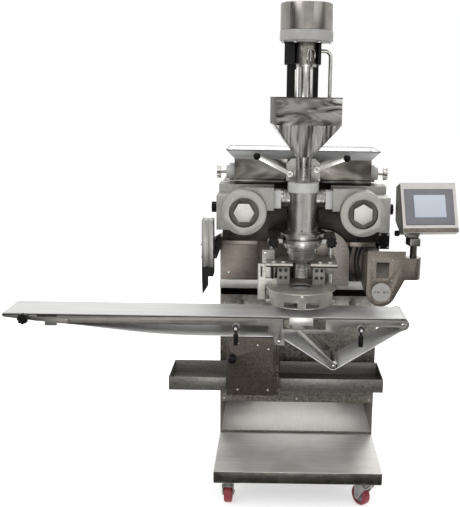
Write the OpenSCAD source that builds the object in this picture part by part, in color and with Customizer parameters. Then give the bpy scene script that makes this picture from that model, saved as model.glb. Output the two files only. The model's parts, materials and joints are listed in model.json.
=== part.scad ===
// Filled-cookie forming machine: rolling cabinet, two dough pumps, centre nozzle, filler, shutter and belt.
// Millimetres. Origin on the floor under the nozzle axis, +X along the belt, +Y to the back, +Z up.

/* [Cabinet] */
// Width of the cabinet and of the platform it stands on
body_w = 600; // [570:10:720]
// Depth of the cabinet from front to back
body_d = 560; // [460:10:680]
// Distance from the nozzle axis back to the cabinet front
axis_to_front = 245; // [240:5:300]
// Height of the deck above the floor
deck_z = 950; // [900:5:1140]
// Height of the open foot space under the front panel
toe_h = 130; // [80:5:160]
// How far the platform stands out in front of the cabinet
step_d = 330; // [270:5:400]
// Thickness of the cabinet sheet metal
sheet = 3; // [2:0.5:4]

/* [Casters] */
// Diameter of each wheel
wheel_d = 75; // [60:1:78]
// Width of each wheel
wheel_w = 30; // [20:1:36]
// Height from the floor to the underside of the platform
caster_h = 118; // [112:1:140]
// Height of the platform lip
lip_h = 44; // [30:1:60]
// Distance from the swivel axis to the wheel axis
caster_trail = 28; // [20:1:34]
// Angle that the front right caster is turned to
right_caster_turn = 35; // [0:1:60]

/* [Conveyor] */
// Drop from the deck to the top of the belt
belt_drop = 217; // [200:1:230]
// Width of the belt
belt_w = 156; // [120:1:170]
// Thickness of the belt
belt_t = 2; // [1:0.5:3]
// Reach of the belt nose to the left of the nozzle axis
reach_left = 1022; // [900:10:1230]
// Reach of the tail roller axis to the right of the nozzle axis
tail_x = 348; // [300:5:420]
// Diameter of the tail roller
tail_d = 36; // [28:1:44]
// Diameter of the drive roller
drive_d = 32; // [26:1:36]
// Diameter of the take-up roller
takeup_d = 30; // [24:1:36]

/* [Shutter] */
// Diameter of the round shutter cover
cover_d = 242; // [230:1:250]
// Outer diameter of the shutter housing
housing_d = 218; // [206:1:222]
// Gap from the belt to the lower edge of the housing
guard_gap = 33; // [20:1:40]
// Diameter of the hole in the shutter cover
cover_hole_d = 76; // [70:1:90]
// Side length of each shutter blade
blade_r = 72; // [66:1:76]

/* [Barrel and pumps] */
// Outer diameter of the centre barrel
barrel_d = 108; // [96:1:114]
// Bore of the centre barrel
barrel_bore = 84; // [70:1:88]
// Distance of each pump axis from the nozzle axis
pump_x = 197; // [190:1:230]
// Height of the pump axes above the deck
pump_up = 140; // [130:1:160]
// Diameter of the round pump covers
pump_cover_d = 150; // [130:1:156]
// Bore of each pump
pump_bore = 98; // [80:1:110]
// Outer diameter of the barrel flange
flange_d = 156; // [146:1:170]

/* [Hoppers] */
// Length of the dough hopper across the machine
hopper_w = 476; // [460:2:560]
// Depth of the dough hopper, front to back
hopper_d = 180; // [160:2:220]
// Height of the straight walls of the dough hopper
hopper_h = 90; // [75:1:110]
// Width of the square funnel box
funnel_w = 212; // [190:1:260]
// Height of the square funnel box
funnel_box_h = 88; // [60:1:110]
// Height of the funnel cone
funnel_cone_h = 108; // [90:1:130]
// Outer diameter of the funnel neck
neck_d = 52; // [44:1:54]
// Diameter of the motor cover
motor_d = 172; // [150:1:200]
// Height of the motor cover
motor_h = 86; // [70:1:120]

/* [Side units] */
// Width of the flour duster box
duster_w = 128; // [120:1:140]
// Width of the touch panel housing
panel_w = 190; // [170:1:210]
// Height of the touch panel housing
panel_h = 170; // [150:1:190]
// Backward lean of the touch panel
panel_lean = 22; // [10:1:30]
// Width of the aluminium post profile
post_w = 40; // [25:1:50]
// Depth of the aluminium post profile
post_d = 60; // [50:1:80]

/* [Hidden] */
$fn = 72;
// Extra length of every cut past the face it opens
overrun = 1;
// Gap between faces that slide or turn past each other
run_gap = 0.4;
// Difference in diameter between a turning shaft and its bore
bore_gap = 0.2;
// Gap around a fixed piece in its hole
seat_gap = 0.2;

// Planes of the cabinet
half_w = body_w / 2;
front_y = axis_to_front;
back_y = front_y + body_d;
step_y = front_y - step_d;
platform_z = caster_h + lip_h;
belt_z = deck_z - belt_drop;
floor_lift = 10;
floor_seam = 3;
floor_z = platform_z + floor_lift;
shelf_drop = 8;
shelf_z = belt_z - shelf_drop;
recess_d = 120;
bulk_y = front_y + recess_d;
deck_overhang = 70;
deck_front_y = front_y - deck_overhang;
deck_lip = 20;
wing_inset = 25;
wing_left_in = 158;
wing_right_in = 182;
rail_h = 33;
rail_d = 20;
rail_up = 22;
rail_z = belt_z + rail_up;

// Door hinges
hinge_pin_d = 6;
hinge_knuckle_d = 12;
hinge_len = 50;
hinge_lug = 14;
rear_hinge_shares = [0.12, 0.82];
gear_hinge_shares = [0.12, 0.66];
door_gap = 1;
door_margin = 5;
door_lap = 10;
latch_share = 0.66;
latch_knob_d = 28;
latch_knob_h = 22;
latch_stem_d = 12;
latch_stem_h = 14;
latch_inset = 22;

// Casters
caster_inset_x = 48;
front_caster_inset = 60;
rear_caster_inset = 90;
caster_x = half_w - caster_inset_x;
front_caster_y = step_y + front_caster_inset;
rear_caster_y = back_y - rear_caster_inset;
pad_w = 90;
pad_d = 100;
caster_plate_t = 6;
crown_gap = 5;
crown_t = 6;
boss_d = 44;
boss_h = 8;
king_d = 14;
king_short = 1;
leg_gap = 2;
leg_t = 4;
leg_r = 13;
crown_back = 20;
axle_d = 12;
axle_head = 3;
axle_z = wheel_d / 2;
crown_z = wheel_d + crown_gap;
fork_top = crown_z + crown_t + boss_h;
leg_x = wheel_w / 2 + leg_gap;
tyre_t = 12;
tyre_edge = 4;
hub_recess = 5;
hub_d = 26;

// Pump and upper housing planes
pump_z = deck_z + pump_up;
pump_front_y = -62;
pump_len = 222;
pump_back_y = pump_front_y + pump_len;
pump_wall = 28;
pump_side = 93;
pump_low = 62;
pump_high = 52;
seat_up = 78;
seat_z = pump_z + seat_up;
upper_margin = 88;
upper_half = pump_x + upper_margin;
upper_d = 400;
upper_y = pump_back_y;
shaft_d = 24;
shaft_hole = 40;
cover_t = 28;
cover_recess_d = 98;
cover_recess = 22;
cover_hex_d = 70;
cover_hex_h = 24;
cover_hex_turn = 30;
inlet_w = 70;
inlet_front = 86;
inlet_back = 128;
outlet_up = 38;
outlet_z = pump_z + outlet_up;
outlet_d = 44;
arm_low = 36;
arm_half_y = 42;
boss_len = 21;
inlet_boss_d = 66;
rib_d = 72;
rib_w = 3;
rib_shares = [0.3, 0.62];
spacer_len = 24;
spacer_half = 30;
arm_x = barrel_d / 2 + boss_len + spacer_len;
rotor_core_d = 64;
rotor_clear = 3;
vane_t = 10;
vane_count = 4;

// Barrel, collar and nozzle
flange_up = 44;
flange_z = deck_z + flange_up;
flange_t = 22;
flange_step = 4;
flange_step_d = 126;
barrel_drop = 16;
barrel_top = seat_z - barrel_drop;
collar_d = 106;
collar_h = 33;
collar_top = barrel_top + collar_h;
collar_floor = 8;
tube_d = 30;
tube_bore = 24;
tube_wall_gap = 1;
nut_d = 128;
nut_h = 30;
nut_bore = 92;
nozzle_d = 104;
nozzle_h = 42;
nozzle_band_d = 96;
nozzle_band_share = 0.45;
nozzle_throat_share = 0.25;
nozzle_tip_gap = 33;
nozzle_tube_d = 46;
nozzle_tube_bore = 38;
yoke_t = 16;
yoke_half = 118;
yoke_front = 30;
yoke_clear = 2;
yoke_knob_x = 98;
saddle_w = 116;
saddle_h = 77;
saddle_t = 10;
saddle_y = 34;
saddle_chamfer = 18;
saddle_boss = 40;
lever_pivot_x = 46;
left_pivot_up = 26;
right_pivot_up = 42;
pivot_d = 10;
pivot_len = 22;
lever_hub_d = 22;
lever_t = 8;
lever_wide = 14;
left_lever_len = 118;
right_lever_len = 100;
left_lever_lift = 27;
right_lever_lift = 21;
ball_d = 25;
ball_sink = 4;

// Shutter
cover_plate_t = 4;
housing_h = 52;
housing_wall = 4;
housing_floor = 4;
floor_up = 31;
floor_hole_d = 82;
guard_z = belt_z + guard_gap;
cover_z = guard_z + housing_h;
cover_top = cover_z + cover_plate_t;
blade_t = 14;
blade_edge_gap = 0.15;
blade_count = 6;
window_low = 4;
window_in = 14;
window_out = 60;
crosshead_up = 74;
crosshead_t = 12;
crosshead_front = 35;
crosshead_hole = 62;
crosshead_z = cover_top + crosshead_up;
leg_in = 40;
leg_out = 84;
leg_y0 = 26;
leg_y1 = 62;
rod_x = 105;
rod_y = 88;
rod_d = 16;
slider_half = 17;
slider_h = 46;
foot_half = 124;
foot_t = 15;
foot_front = 74;
side_plate_in = 126;
side_plate_out = 152;
side_plate_t = 12;
side_plate_y = 34;
side_plate_h = 118;
back_plate_in = 94;
back_plate_out = 138;
back_plate_t = 4;
back_plate_h = 118;
side_slot_w = 7;
side_slot_h = 60;
side_arm_h = 18;
side_arm_in = 78;
front_bolt_d = 12;
front_bolt_h = 7;
bolt_d = 14;
bolt_h = 8;
bolt_shares = [-0.8, -0.52, 0.52, 0.8];
gearcase_x = 80;
gearcase_r = 97;
gearcase_drop = 45;
gearcase_d = 32;
gearcase_y = pump_back_y - gearcase_d;
gearcase_z = deck_z - gearcase_drop;
gearcase_low = 4;
gearcase_bottom = rail_z + rail_h + gearcase_low;
gearcase_boss = 60;

// Conveyor planes
plate_t = 3;
plate_gap = 2;
plate_y = belt_w / 2 + plate_gap;
plate_out_y = plate_y + plate_t;
plate_h = 29;
plate_left = 832;
notch_left = 62;
notch_right = 84;
bridge_drop = 43;
bridge_h = 14;
bridge_left = 112;
bridge_right = 132;
bed_t = 4;
bed_z = belt_z - belt_t;
bed_end = 24;
nose_r = 5;
belt_gap = 0.3;
nose_x = nose_r + belt_gap + belt_t - reach_left;
nose_z = bed_z - belt_gap - nose_r;
wedge_len = 115;
wedge_t = 9;
nose_plate_h = 24;
nose_bar_h = 16;
clamp_w = 40;
clamp_h = 25;
clamp_t = 8;
tail_z = bed_z - belt_gap - tail_d / 2;
tail_end_r = 21;
drive_x = -75;
drive_drop = 88;
drive_z = belt_z - drive_drop;
takeup_x = 114;
takeup_drop = 171;
takeup_z = belt_z - takeup_drop;
sag_x = -330;
sag_drop = 71;
sag_r = 2600;
hanger_half = 20;
hanger_low = 13;
tie_d = 14;
tie_drop = 21;
tie_xs = [-770, -430, -120, 140, 290];
roller_shaft_d = 12;
arm_w = 18;
arm_t = 6;
arm_pivot_x = -6;
arm_pivot_drop = 50;
bar_d = 24;
bar_drop = 36;
bar_left_x = -222;
bar_right_x = 204;
bar_z = belt_z - bar_drop;
bar_front = 4;
stud_d = 10;
stud_len = 26;
lock_hub_d = 22;
lock_hub_h = 16;
lock_grip_d = 17;
lock_grip_len = 36;
lock_neck_d = 9;
lock_neck_len = 16;
lock_neck_root = 8;
lifter_half = 40;
lifter_t = 10;
apron_t = 8;
apron_up = 3;
apron_down = 26;
apron_clear = 3;
lifter_arm_half = 20;
lifter_rod_d = 20;
lifter_rod_y = 210;
lifter_rod_len = 170;
guide_half = 26;
guide_h = 60;
guide_drop = 133;

// Gear box and trays
box_left = -262;
box_right = -72;
box_front = 45;
box_drop = 113;
box_h = 220;
box_z = belt_z - box_drop - box_h;
tray_wall = 2;
tray_h = 50;
tray_front = 52;
tray_back_gap = 5;
tray_side_gap = 2;
tray_up = 12;
tray_z = box_z + tray_up;
tray_left = -474;
tray_right = 309;
tray_bar_d = 10;
tray_bar_shares = [0.2, 0.85];

// Dough hopper
hopper_wall = 2.5;
hopper_front = 75;
hopper_back = hopper_front + hopper_d;
hopper_half = hopper_w / 2;
rim_flare = 26;
rim_h = 29;
rim_t = 2;
divider_t = 3;
bead_d = 18;
bead_up = 10;
bead_in = 52;
agitator_up = 34;
agitator_z = seat_z + agitator_up;
agitator_y = hopper_front + hopper_d / 2;
agitator_d = 12;
paddle_r = 27;
paddle_t = 5;
paddle_w = 16;
paddle_shares = [0.2, 0.45, 0.7];
paddle_turn = 60;
bush_d = 24;
bush_len = 10;
bearing_d = 62;
bearing_len = 22;
bearing_nose_d = 46;
bearing_nose = 11;
wheel_stem = 20;
handwheel_d = 40;
handwheel_t = 14;
lobe_d = 13;
lobe_out = 4;
lobe_count = 7;

// Funnel, filler column and motor
funnel_wall = 2;
funnel_half = funnel_w / 2;
funnel_yaw = 6;
cone_gap = 8;
cone_sides = 40;
cone_rim = 4;
neck_step = 1;
cone_z = collar_top + saddle_h + cone_gap;
box_base_z = cone_z + funnel_cone_h;
funnel_top = box_base_z + funnel_box_h;
bridge_y0 = -27;
bridge_y1 = 60;
bridge_t = 16;
bridge_under = 8;
bridge_z = funnel_top - bridge_under - bridge_t;
column_tube_d = 48;
column_tube_bore = 34;
left_post_x = -46;
left_post_w = 32;
right_post_x = 34;
right_post_w = 18;
post_depth = 30;
post_y = 22;
column_h = 114;
column_top = bridge_z + bridge_t + column_h;
gear_collar_d = 68;
gear_collar_h = 8;
gear_left = 71;
gear_right = 48;
gear_front = 34;
gear_recess = 12;
gear_cheek = 38;
gear_case_d = 80;
gear_h = 70;
gear_z = column_top;
ring_d = 175;
ring_h = 33;
ring_lip_d = 150;
ring_lip_h = 4;
motor_edge = 3;
motor_wall = 3;
motor_core_d = 112;
motor_core_share = 0.85;
pipe_d = 13;
pipe_bore = 9;
pipe_stub = 14;
pipe_bend = 20;
pipe_up = 45;
pipe_y = 20;
pipe_x = gear_right + pipe_stub + pipe_bend;
auger_shaft_d = 16;
flight_d = 40;
flight_t = 4;
flight_turns = 3;
flight_h = 120;
flight_slices = 40;
flight_sides = 8;

// Flour duster and panel post
duster_inset = 32;
duster_x = half_w - duster_inset;
duster_wall = 3;
duster_front = -80;
duster_depth = 165;
duster_back = duster_front + duster_depth;
duster_up = 233;
duster_axis_up = 92;
duster_taper_up = 135;
duster_top = belt_z + duster_up;
duster_axis_z = belt_z + duster_axis_up;
duster_low_r = 50;
duster_left = duster_x - duster_low_r;
duster_right = duster_left + duster_w;
duster_taper_z = belt_z + duster_taper_up;
disc_d = 64;
disc_t = 8;
disc_proud = 3;
disc_hole_d = 9;
disc_hole_r = 22;
roller_d = 76;
roller_gap = 6;
flute_count = 12;
flute_d = 8;
slot_w = 12;
slot_margin = 14;
view_w = 43;
view_h = 54;
view_up = 141;
view_left = 19;
view_lap = 6;
view_t = 2;
view_z = belt_z + view_up;
view_x = duster_x - view_left;
duster_slope = 42;
duster_arm_w = 34;
duster_arm_h = 40;
duster_arm_up = 150;
duster_arm_z = belt_z + duster_arm_up;
holder_d = 52;
holder_out = 107;
holder_h = 74;
holder_z = duster_taper_z;
holder_x = duster_x + holder_out;
holder_y = duster_front + holder_d / 2;
pole_d = 24;
pole_up = 275;
pole_top = belt_z + pole_up;
head_half = 18;
head_front = 15;
head_h = 26;
hinge_r = 13;
panel_pin_d = 10;
lug_t = 6;
panel_hinge_back = 22;
panel_hinge_up = 13;
panel_shift = 40;
panel_hinge_y = holder_y + panel_hinge_back;
panel_hinge_z = pole_top + panel_hinge_up;
panel_center_x = holder_x + panel_shift;
panel_front = 78;
panel_below = 15;
panel_depth = 84;
panel_top_d = 48;
panel_turn = 8;
panel_chin = 20;
panel_heel = 45;
screen_w = 168;
screen_h = 122;
screen_t = 6;
screen_proud = 1;
screen_low = 26;
screen_gap = 0.3;
screen_ledge = 5;
panel_hollow = 44;
panel_knob_d = 20;
panel_knob_h = 14;
panel_stem = 22;

// Aluminium post on the left
bracket_t = 8;
post_up = 148;
post_x1 = -half_w - bracket_t;
post_x0 = post_x1 - post_w;
post_y0 = 20;
post_z0 = belt_z + post_up;
post_len = 165;
slot_open = 8;
slot_deep = 8;
slot_wide = 11;
slot_lip = 2.5;
core_d = 6.8;
core_shares = [0.25, 0.75];
bracket_low = 18;
bracket_h = 80;
bracket_back = 95;
bracket_cut = 34;
foot_block_h = 34;
pointer_t = 12;
pointer_w = 22;
pointer_len = 66;
pointer_tip = 2;

// Star knobs
knob_d = 26;
knob_h = 15;
knob_lobe_d = 11;
knob_lobes = 8;
knob_stem_d = 10;
knob_stem = 9;
pump_knob_y = 45;
nose_knob_inset = 72;

// Drive units
motor_block = 110;
motor_block_d = 80;
motor_body_d = 104;
motor_body_len = 120;
motor_gap = 130;
motor_bore = 20;
control_half = 180;
control_d = 200;
control_h = 420;
control_back = 60;
belt_motor_half = 42;
belt_motor_d = 90;
belt_motor_up = 90;
belt_motor_h = 100;

// Cables: each runs from a gland under the deck to a gland on the cross rail
cable_sides = 10;
gland_h = 12;
gland_rim = 4;
cable_big_d = 16;
cable_d = 9;
cable_ends = [198, 221, 240];
cable_ds = [cable_big_d, cable_d, cable_d];
cable_bows = [20, 14, 22];
cable_steps = 14;
junction_w = 42;
junction_d = 55;
junction_h = 62;
junction_low = 28;

// Shapes that repeat

module block(x0, x1, y0, y1, z0, z1) {
  translate([x0, y0, z0])
    cube([x1 - x0, y1 - y0, z1 - z0]);
}

module shaft_x(y, z, d, x0, x1) {
  translate([x0, y, z])
    rotate([0, 90, 0])
      cylinder(d = d, h = x1 - x0);
}

module shaft_y(x, z, d, y0, y1) {
  translate([x, y0, z])
    rotate([-90, 0, 0])
      cylinder(d = d, h = y1 - y0);
}

module shaft_z(x, y, d, z0, z1) {
  translate([x, y, z0])
    cylinder(d = d, h = z1 - z0);
}

// A flat outline in X and Z, made thick from y0 to y1
module slab_y(y0, y1) {
  translate([0, y1, 0])
    rotate([90, 0, 0])
      linear_extrude(y1 - y0)
        children();
}

// A flat outline in Y and Z, made thick from x0 to x1
module slab_x(x0, x1) {
  translate([x0, 0, 0])
    rotate([90, 0, 90])
      linear_extrude(x1 - x0)
        children();
}

// An open-topped or open-bottomed box of even wall
module shell(x0, x1, y0, y1, z0, z1, wall, open_top) {
  difference() {
    block(x0, x1, y0, y1, z0, z1);
    block(x0 + wall, x1 - wall, y0 + wall, y1 - wall,
      open_top ? z0 + wall : z0 - overrun, open_top ? z1 + overrun : z1 - wall);
  }
}

// Round grip with lobes on its rim, standing on a stem
module lobed_disc(d, h, lobe, lobes, lobe_r) {
  linear_extrude(h) {
    circle(d = d);
    for (i = [0:lobes - 1])
      rotate(i * 360 / lobes)
        translate([lobe_r, 0])
          circle(d = lobe);
  }
}

module star_knob() {
  cylinder(d = knob_stem_d, h = knob_stem + knob_h / 2);
  translate([0, 0, knob_stem])
    lobed_disc(knob_d, knob_h, knob_lobe_d, knob_lobes, knob_d / 2);
}

// Fixed half of a hinge: a pin between two lugs, with a leaf back to the frame
module hinge_pins(shares, x, y, z0, z1, leaf_x0, leaf_x1, leaf_y) {
  for (share = shares) {
    low = z0 + share * (z1 - z0);
    shaft_z(x, y, hinge_pin_d, low - hinge_lug, low + hinge_len + hinge_lug);
    for (z = [low - hinge_lug, low + hinge_len]) {
      shaft_z(x, y, hinge_knuckle_d, z, z + hinge_lug);
      block(leaf_x0, leaf_x1, min(y, leaf_y), max(y, leaf_y), z, z + hinge_lug);
    }
  }
}

// Moving half of a hinge: a knuckle round the pin, with a leaf to the door
module hinge_knuckles(shares, x, y, z0, z1, leaf_x0, leaf_y0, leaf_y1) {
  for (share = shares) {
    low = z0 + share * (z1 - z0) + run_gap;
    high = low + hinge_len - 2 * run_gap;
    difference() {
      union() {
        shaft_z(x, y, hinge_knuckle_d, low, high);
        block(leaf_x0, x, leaf_y0, leaf_y1, low, high);
      }
      shaft_z(x, y, hinge_pin_d + bore_gap, low - overrun, high + overrun);
    }
  }
}

// Platform and casters

module base_platform() color("silver") {
  shell(-half_w, half_w, step_y, back_y, caster_h, platform_z, sheet, false);
  for (x = [-caster_x, caster_x], y = [front_caster_y, rear_caster_y])
    block(x - pad_w / 2, x + pad_w / 2, y - pad_d / 2, y + pad_d / 2, caster_h, platform_z - sheet);
}

module caster_leg() {
  polygon([
    [-crown_back, crown_z + crown_t], [caster_trail + leg_r, crown_z + crown_t],
    [caster_trail + leg_r, axle_z], [caster_trail - leg_r, axle_z]
  ]);
  translate([caster_trail, axle_z])
    circle(r = leg_r);
}

module caster_axle() {
  for (s = [0, 1])
    mirror([s, 0, 0])
      slab_x(leg_x, leg_x + leg_t)
        caster_leg();
  shaft_x(caster_trail, axle_z, axle_d, -leg_x - leg_t - axle_head, leg_x + leg_t + axle_head);
}

module swivel_fork() {
  caster_axle();
  block(-leg_x - leg_t, leg_x + leg_t, -crown_back, caster_trail + leg_r, crown_z, crown_z + crown_t);
  boss_z = crown_z + crown_t;
  shaft_z(0, 0, boss_d, boss_z, fork_top);
  shaft_z(0, 0, king_d, boss_z, caster_h - king_short);
}

module caster_mounts() color("gray") {
  for (x = [-caster_x, caster_x])
    translate([x, front_caster_y, 0])
      difference() {
        union() {
          block(-pad_w / 2, pad_w / 2, -pad_d / 2, pad_d / 2, caster_h - caster_plate_t, caster_h);
          shaft_z(0, 0, boss_d, fork_top + run_gap, caster_h - caster_plate_t);
        }
        shaft_z(0, 0, king_d + bore_gap, fork_top, caster_h + overrun);
      }
  for (x = [-caster_x, caster_x])
    translate([x, rear_caster_y - caster_trail, 0]) {
      block(-pad_w / 2, pad_w / 2, caster_trail - pad_d / 2, caster_trail + pad_d / 2,
        caster_h - caster_plate_t, caster_h);
      caster_axle();
      for (s = [0, 1])
        mirror([s, 0, 0])
          block(leg_x, leg_x + leg_t, caster_trail - leg_r, caster_trail + leg_r,
            crown_z, caster_h - caster_plate_t);
    }
}

module front_left_fork() color("gray") {
  translate([-caster_x, front_caster_y, 0])
    swivel_fork();
}

module front_right_fork() color("gray") {
  translate([caster_x, front_caster_y, 0])
    rotate([0, 0, right_caster_turn])
      swivel_fork();
}

// Wheel on its axle along X, with a red tyre on a recessed hub
module caster_wheel() {
  rim_r = wheel_d / 2 - tyre_t;
  half = wheel_w / 2;
  rotate([0, 90, 0])
    rotate_extrude()
      polygon([
        [(axle_d + bore_gap) / 2, -half], [hub_d / 2, -half], [hub_d / 2, hub_recess - half],
        [rim_r, hub_recess - half], [rim_r, -half], [wheel_d / 2 - tyre_edge, -half],
        [wheel_d / 2, tyre_edge - half], [wheel_d / 2, half - tyre_edge],
        [wheel_d / 2 - tyre_edge, half], [rim_r, half], [rim_r, half - hub_recess],
        [hub_d / 2, half - hub_recess], [hub_d / 2, half], [(axle_d + bore_gap) / 2, half]
      ]);
}

module front_left_wheel() color("firebrick") {
  translate([-caster_x, front_caster_y + caster_trail, axle_z])
    caster_wheel();
}

module front_right_wheel() color("firebrick") {
  translate([caster_x, front_caster_y, axle_z])
    rotate([0, 0, right_caster_turn])
      translate([0, caster_trail, 0])
        caster_wheel();
}

module rear_wheels() color("firebrick") {
  for (x = [-caster_x, caster_x])
    translate([x, rear_caster_y, axle_z])
      caster_wheel();
}

// Cabinet

rear_hinge_x = half_w - hinge_knuckle_d;
rear_hinge_y = back_y + door_gap + sheet + hinge_knuckle_d / 2;
rear_door_z0 = platform_z + door_margin;
rear_door_z1 = deck_z - door_margin;

module cabinet() color("silver") {
  for (s = [0, 1])
    mirror([s, 0, 0])
      block(half_w - sheet, half_w, front_y, back_y, platform_z, deck_z);
  block(-half_w, half_w, front_y, front_y + sheet, platform_z + toe_h, shelf_z);
  block(-half_w, half_w, front_y, bulk_y + sheet, shelf_z - sheet, shelf_z);
  block(-half_w, half_w, bulk_y, bulk_y + sheet, shelf_z - sheet, deck_z);
  block(-half_w, -wing_left_in, front_y, front_y + sheet, rail_z + rail_h, deck_z);
  block(-half_w, half_w, bulk_y, back_y, deck_z - sheet, deck_z);
  block(-half_w, half_w, front_y, back_y, floor_z - sheet, floor_z);
  block(-half_w, half_w, front_y, front_y + sheet, platform_z + floor_seam, floor_z);
  block(-half_w, -wing_left_in, front_y, bulk_y + sheet, deck_z - sheet, deck_z);
  block(wing_right_in, half_w, front_y, bulk_y + sheet, deck_z - sheet, deck_z);
  wing_out = half_w - wing_inset;
  block(-wing_out, -wing_left_in, deck_front_y, front_y + sheet, deck_z - sheet, deck_z);
  block(-wing_out, -wing_left_in, deck_front_y, deck_front_y + sheet, deck_z - deck_lip, deck_z);
  block(wing_right_in, wing_out, deck_front_y, front_y + sheet, deck_z - sheet, deck_z);
  block(wing_right_in, wing_out, deck_front_y, deck_front_y + sheet, deck_z - deck_lip, deck_z);
  block(rear_hinge_x - hinge_knuckle_d - door_lap, half_w, back_y - sheet, back_y, platform_z, deck_z);
  hinge_pins(rear_hinge_shares, rear_hinge_x, rear_hinge_y, rear_door_z0, rear_door_z1,
    rear_hinge_x - hinge_pin_d, half_w, back_y - sheet);
}

module rear_door() color("silver") {
  leaf_x = rear_hinge_x - hinge_knuckle_d;
  door_y = back_y + door_gap;
  block(door_gap - half_w, leaf_x, door_y, door_y + sheet, rear_door_z0, rear_door_z1);
  hinge_knuckles(rear_hinge_shares, rear_hinge_x, rear_hinge_y, rear_door_z0, rear_door_z1, leaf_x - sheet,
    door_y, rear_hinge_y);
  translate([latch_inset - half_w, door_y + sheet, (rear_door_z0 + rear_door_z1) / 2])
    rotate([-90, 0, 0]) {
      cylinder(d = latch_stem_d, h = latch_stem_h);
      translate([0, 0, latch_stem_h])
        cylinder(d = latch_knob_d, h = latch_knob_h);
    }
}

module upper_housing() color("silver") {
  difference() {
    shell(-upper_half, upper_half, upper_y, upper_y + upper_d, deck_z, seat_z, sheet, false);
    for (x = [-pump_x, pump_x])
      shaft_y(x, pump_z, shaft_hole, upper_y - overrun, upper_y + sheet + overrun);
  }
}

module shutter_gearcase() color("silver") {
  shaft_y(gearcase_x, gearcase_z, 2 * gearcase_r, gearcase_y, pump_back_y);
  block(gearcase_x - gearcase_r, gearcase_x + gearcase_r, gearcase_y, pump_back_y,
    gearcase_bottom, gearcase_z);
  block(gearcase_x - gearcase_boss, gearcase_x + gearcase_boss, pump_back_y, bulk_y,
    gearcase_bottom, gearcase_z);
}

// Front gear box with its hinged door

gear_hinge_x = box_right - hinge_knuckle_d / 2;
gear_door_y = box_front - door_gap;
gear_hinge_y = gear_door_y - sheet - hinge_knuckle_d / 2;
gear_leaf_x = gear_hinge_x - hinge_knuckle_d;

module gear_box() color("dimgray") {
  tray_span = front_y - tray_back_gap - tray_front;
  difference() {
    block(box_left, box_right, box_front, front_y, box_z, box_z + box_h);
    block(box_left + sheet, box_right - sheet, box_front - overrun, front_y + overrun,
      box_z + sheet, box_z + box_h - sheet);
    for (share = tray_bar_shares)
      shaft_x(tray_front + share * tray_span, tray_z - tray_bar_d / 2, tray_bar_d + seat_gap,
        box_left - overrun, box_right + overrun);
  }
  block(gear_leaf_x - door_lap, box_right, box_front, box_front + sheet, box_z, box_z + box_h);
  hinge_pins(gear_hinge_shares, gear_hinge_x, gear_hinge_y, box_z, box_z + box_h,
    gear_hinge_x - hinge_pin_d / 2, box_right,
    box_front + sheet);
}

module gear_door() color("dimgray") {
  block(box_left, gear_leaf_x, gear_door_y - sheet, gear_door_y, box_z, box_z + box_h);
  hinge_knuckles(gear_hinge_shares, gear_hinge_x, gear_hinge_y, box_z, box_z + box_h, gear_leaf_x - sheet,
    gear_hinge_y,
    gear_door_y);
  translate([box_left + latch_inset, gear_door_y - sheet, box_z + latch_share * box_h])
    rotate([90, 0, 0]) {
      cylinder(d = latch_stem_d, h = latch_stem_h);
      translate([0, 0, latch_stem_h])
        cylinder(d = latch_knob_d, h = latch_knob_h);
    }
}

module tray(x0, x1) {
  shell(x0, x1, tray_front, front_y - tray_back_gap, tray_z, tray_z + tray_h, tray_wall, true);
}

module left_tray() color("silver") {
  tray(tray_left, box_left - tray_side_gap);
}

module right_tray() color("silver") {
  tray(box_right + tray_side_gap, tray_right);
}

// Bars that carry the conveyor, the trays, the shutter and the duster

module support_bars() color("silver") {
  tray_span = front_y - tray_back_gap - tray_front;
  block(-half_w, half_w, front_y - rail_d, front_y, rail_z + seat_gap, rail_z + rail_h);
  block(-foot_half, foot_half, foot_front, front_y, rail_z - foot_t, rail_z);
  for (x = [-rod_x, rod_x])
    shaft_z(x, rod_y, rod_d, rail_z + seat_gap, flange_z - yoke_t);
  for (x = [bar_left_x, bar_right_x]) {
    shaft_y(x, bar_z, bar_d, -plate_out_y - bar_front, front_y);
    shaft_y(x, bar_z, stud_d, -plate_out_y - bar_front - stud_len, -plate_out_y - bar_front);
  }
  for (share = tray_bar_shares)
    shaft_x(tray_front + share * tray_span, tray_z - tray_bar_d / 2, tray_bar_d,
      tray_left + tray_side_gap, tray_right - tray_side_gap);
  difference() {
    block(-guide_half, guide_half, lifter_rod_y - guide_half, front_y,
      belt_z - guide_drop, belt_z - guide_drop + guide_h);
    shaft_z(0, lifter_rod_y, lifter_rod_d + bore_gap, belt_z - guide_drop - overrun,
      belt_z - guide_drop + guide_h + overrun);
  }
  block(duster_x - duster_arm_w / 2, duster_x + duster_arm_w / 2, duster_back, bulk_y,
    duster_arm_z, duster_arm_z + duster_arm_h);
}

// Conveyor

// Belt path: rollers and the sagging return run, each [x, z, path radius, turn], turn -1 for clockwise
belt_mid = belt_gap + belt_t / 2;
belt_stops = [
  [nose_x, nose_z, nose_r + belt_mid, -1],
  [tail_x, tail_z, tail_d / 2 + belt_mid, -1],
  [takeup_x, takeup_z, takeup_d / 2 + belt_mid, -1],
  [drive_x, drive_z, drive_d / 2 + belt_mid, 1],
  [sag_x, belt_z - sag_drop + sag_r, sag_r, -1]
];
belt_arc_steps = 18;

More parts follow.
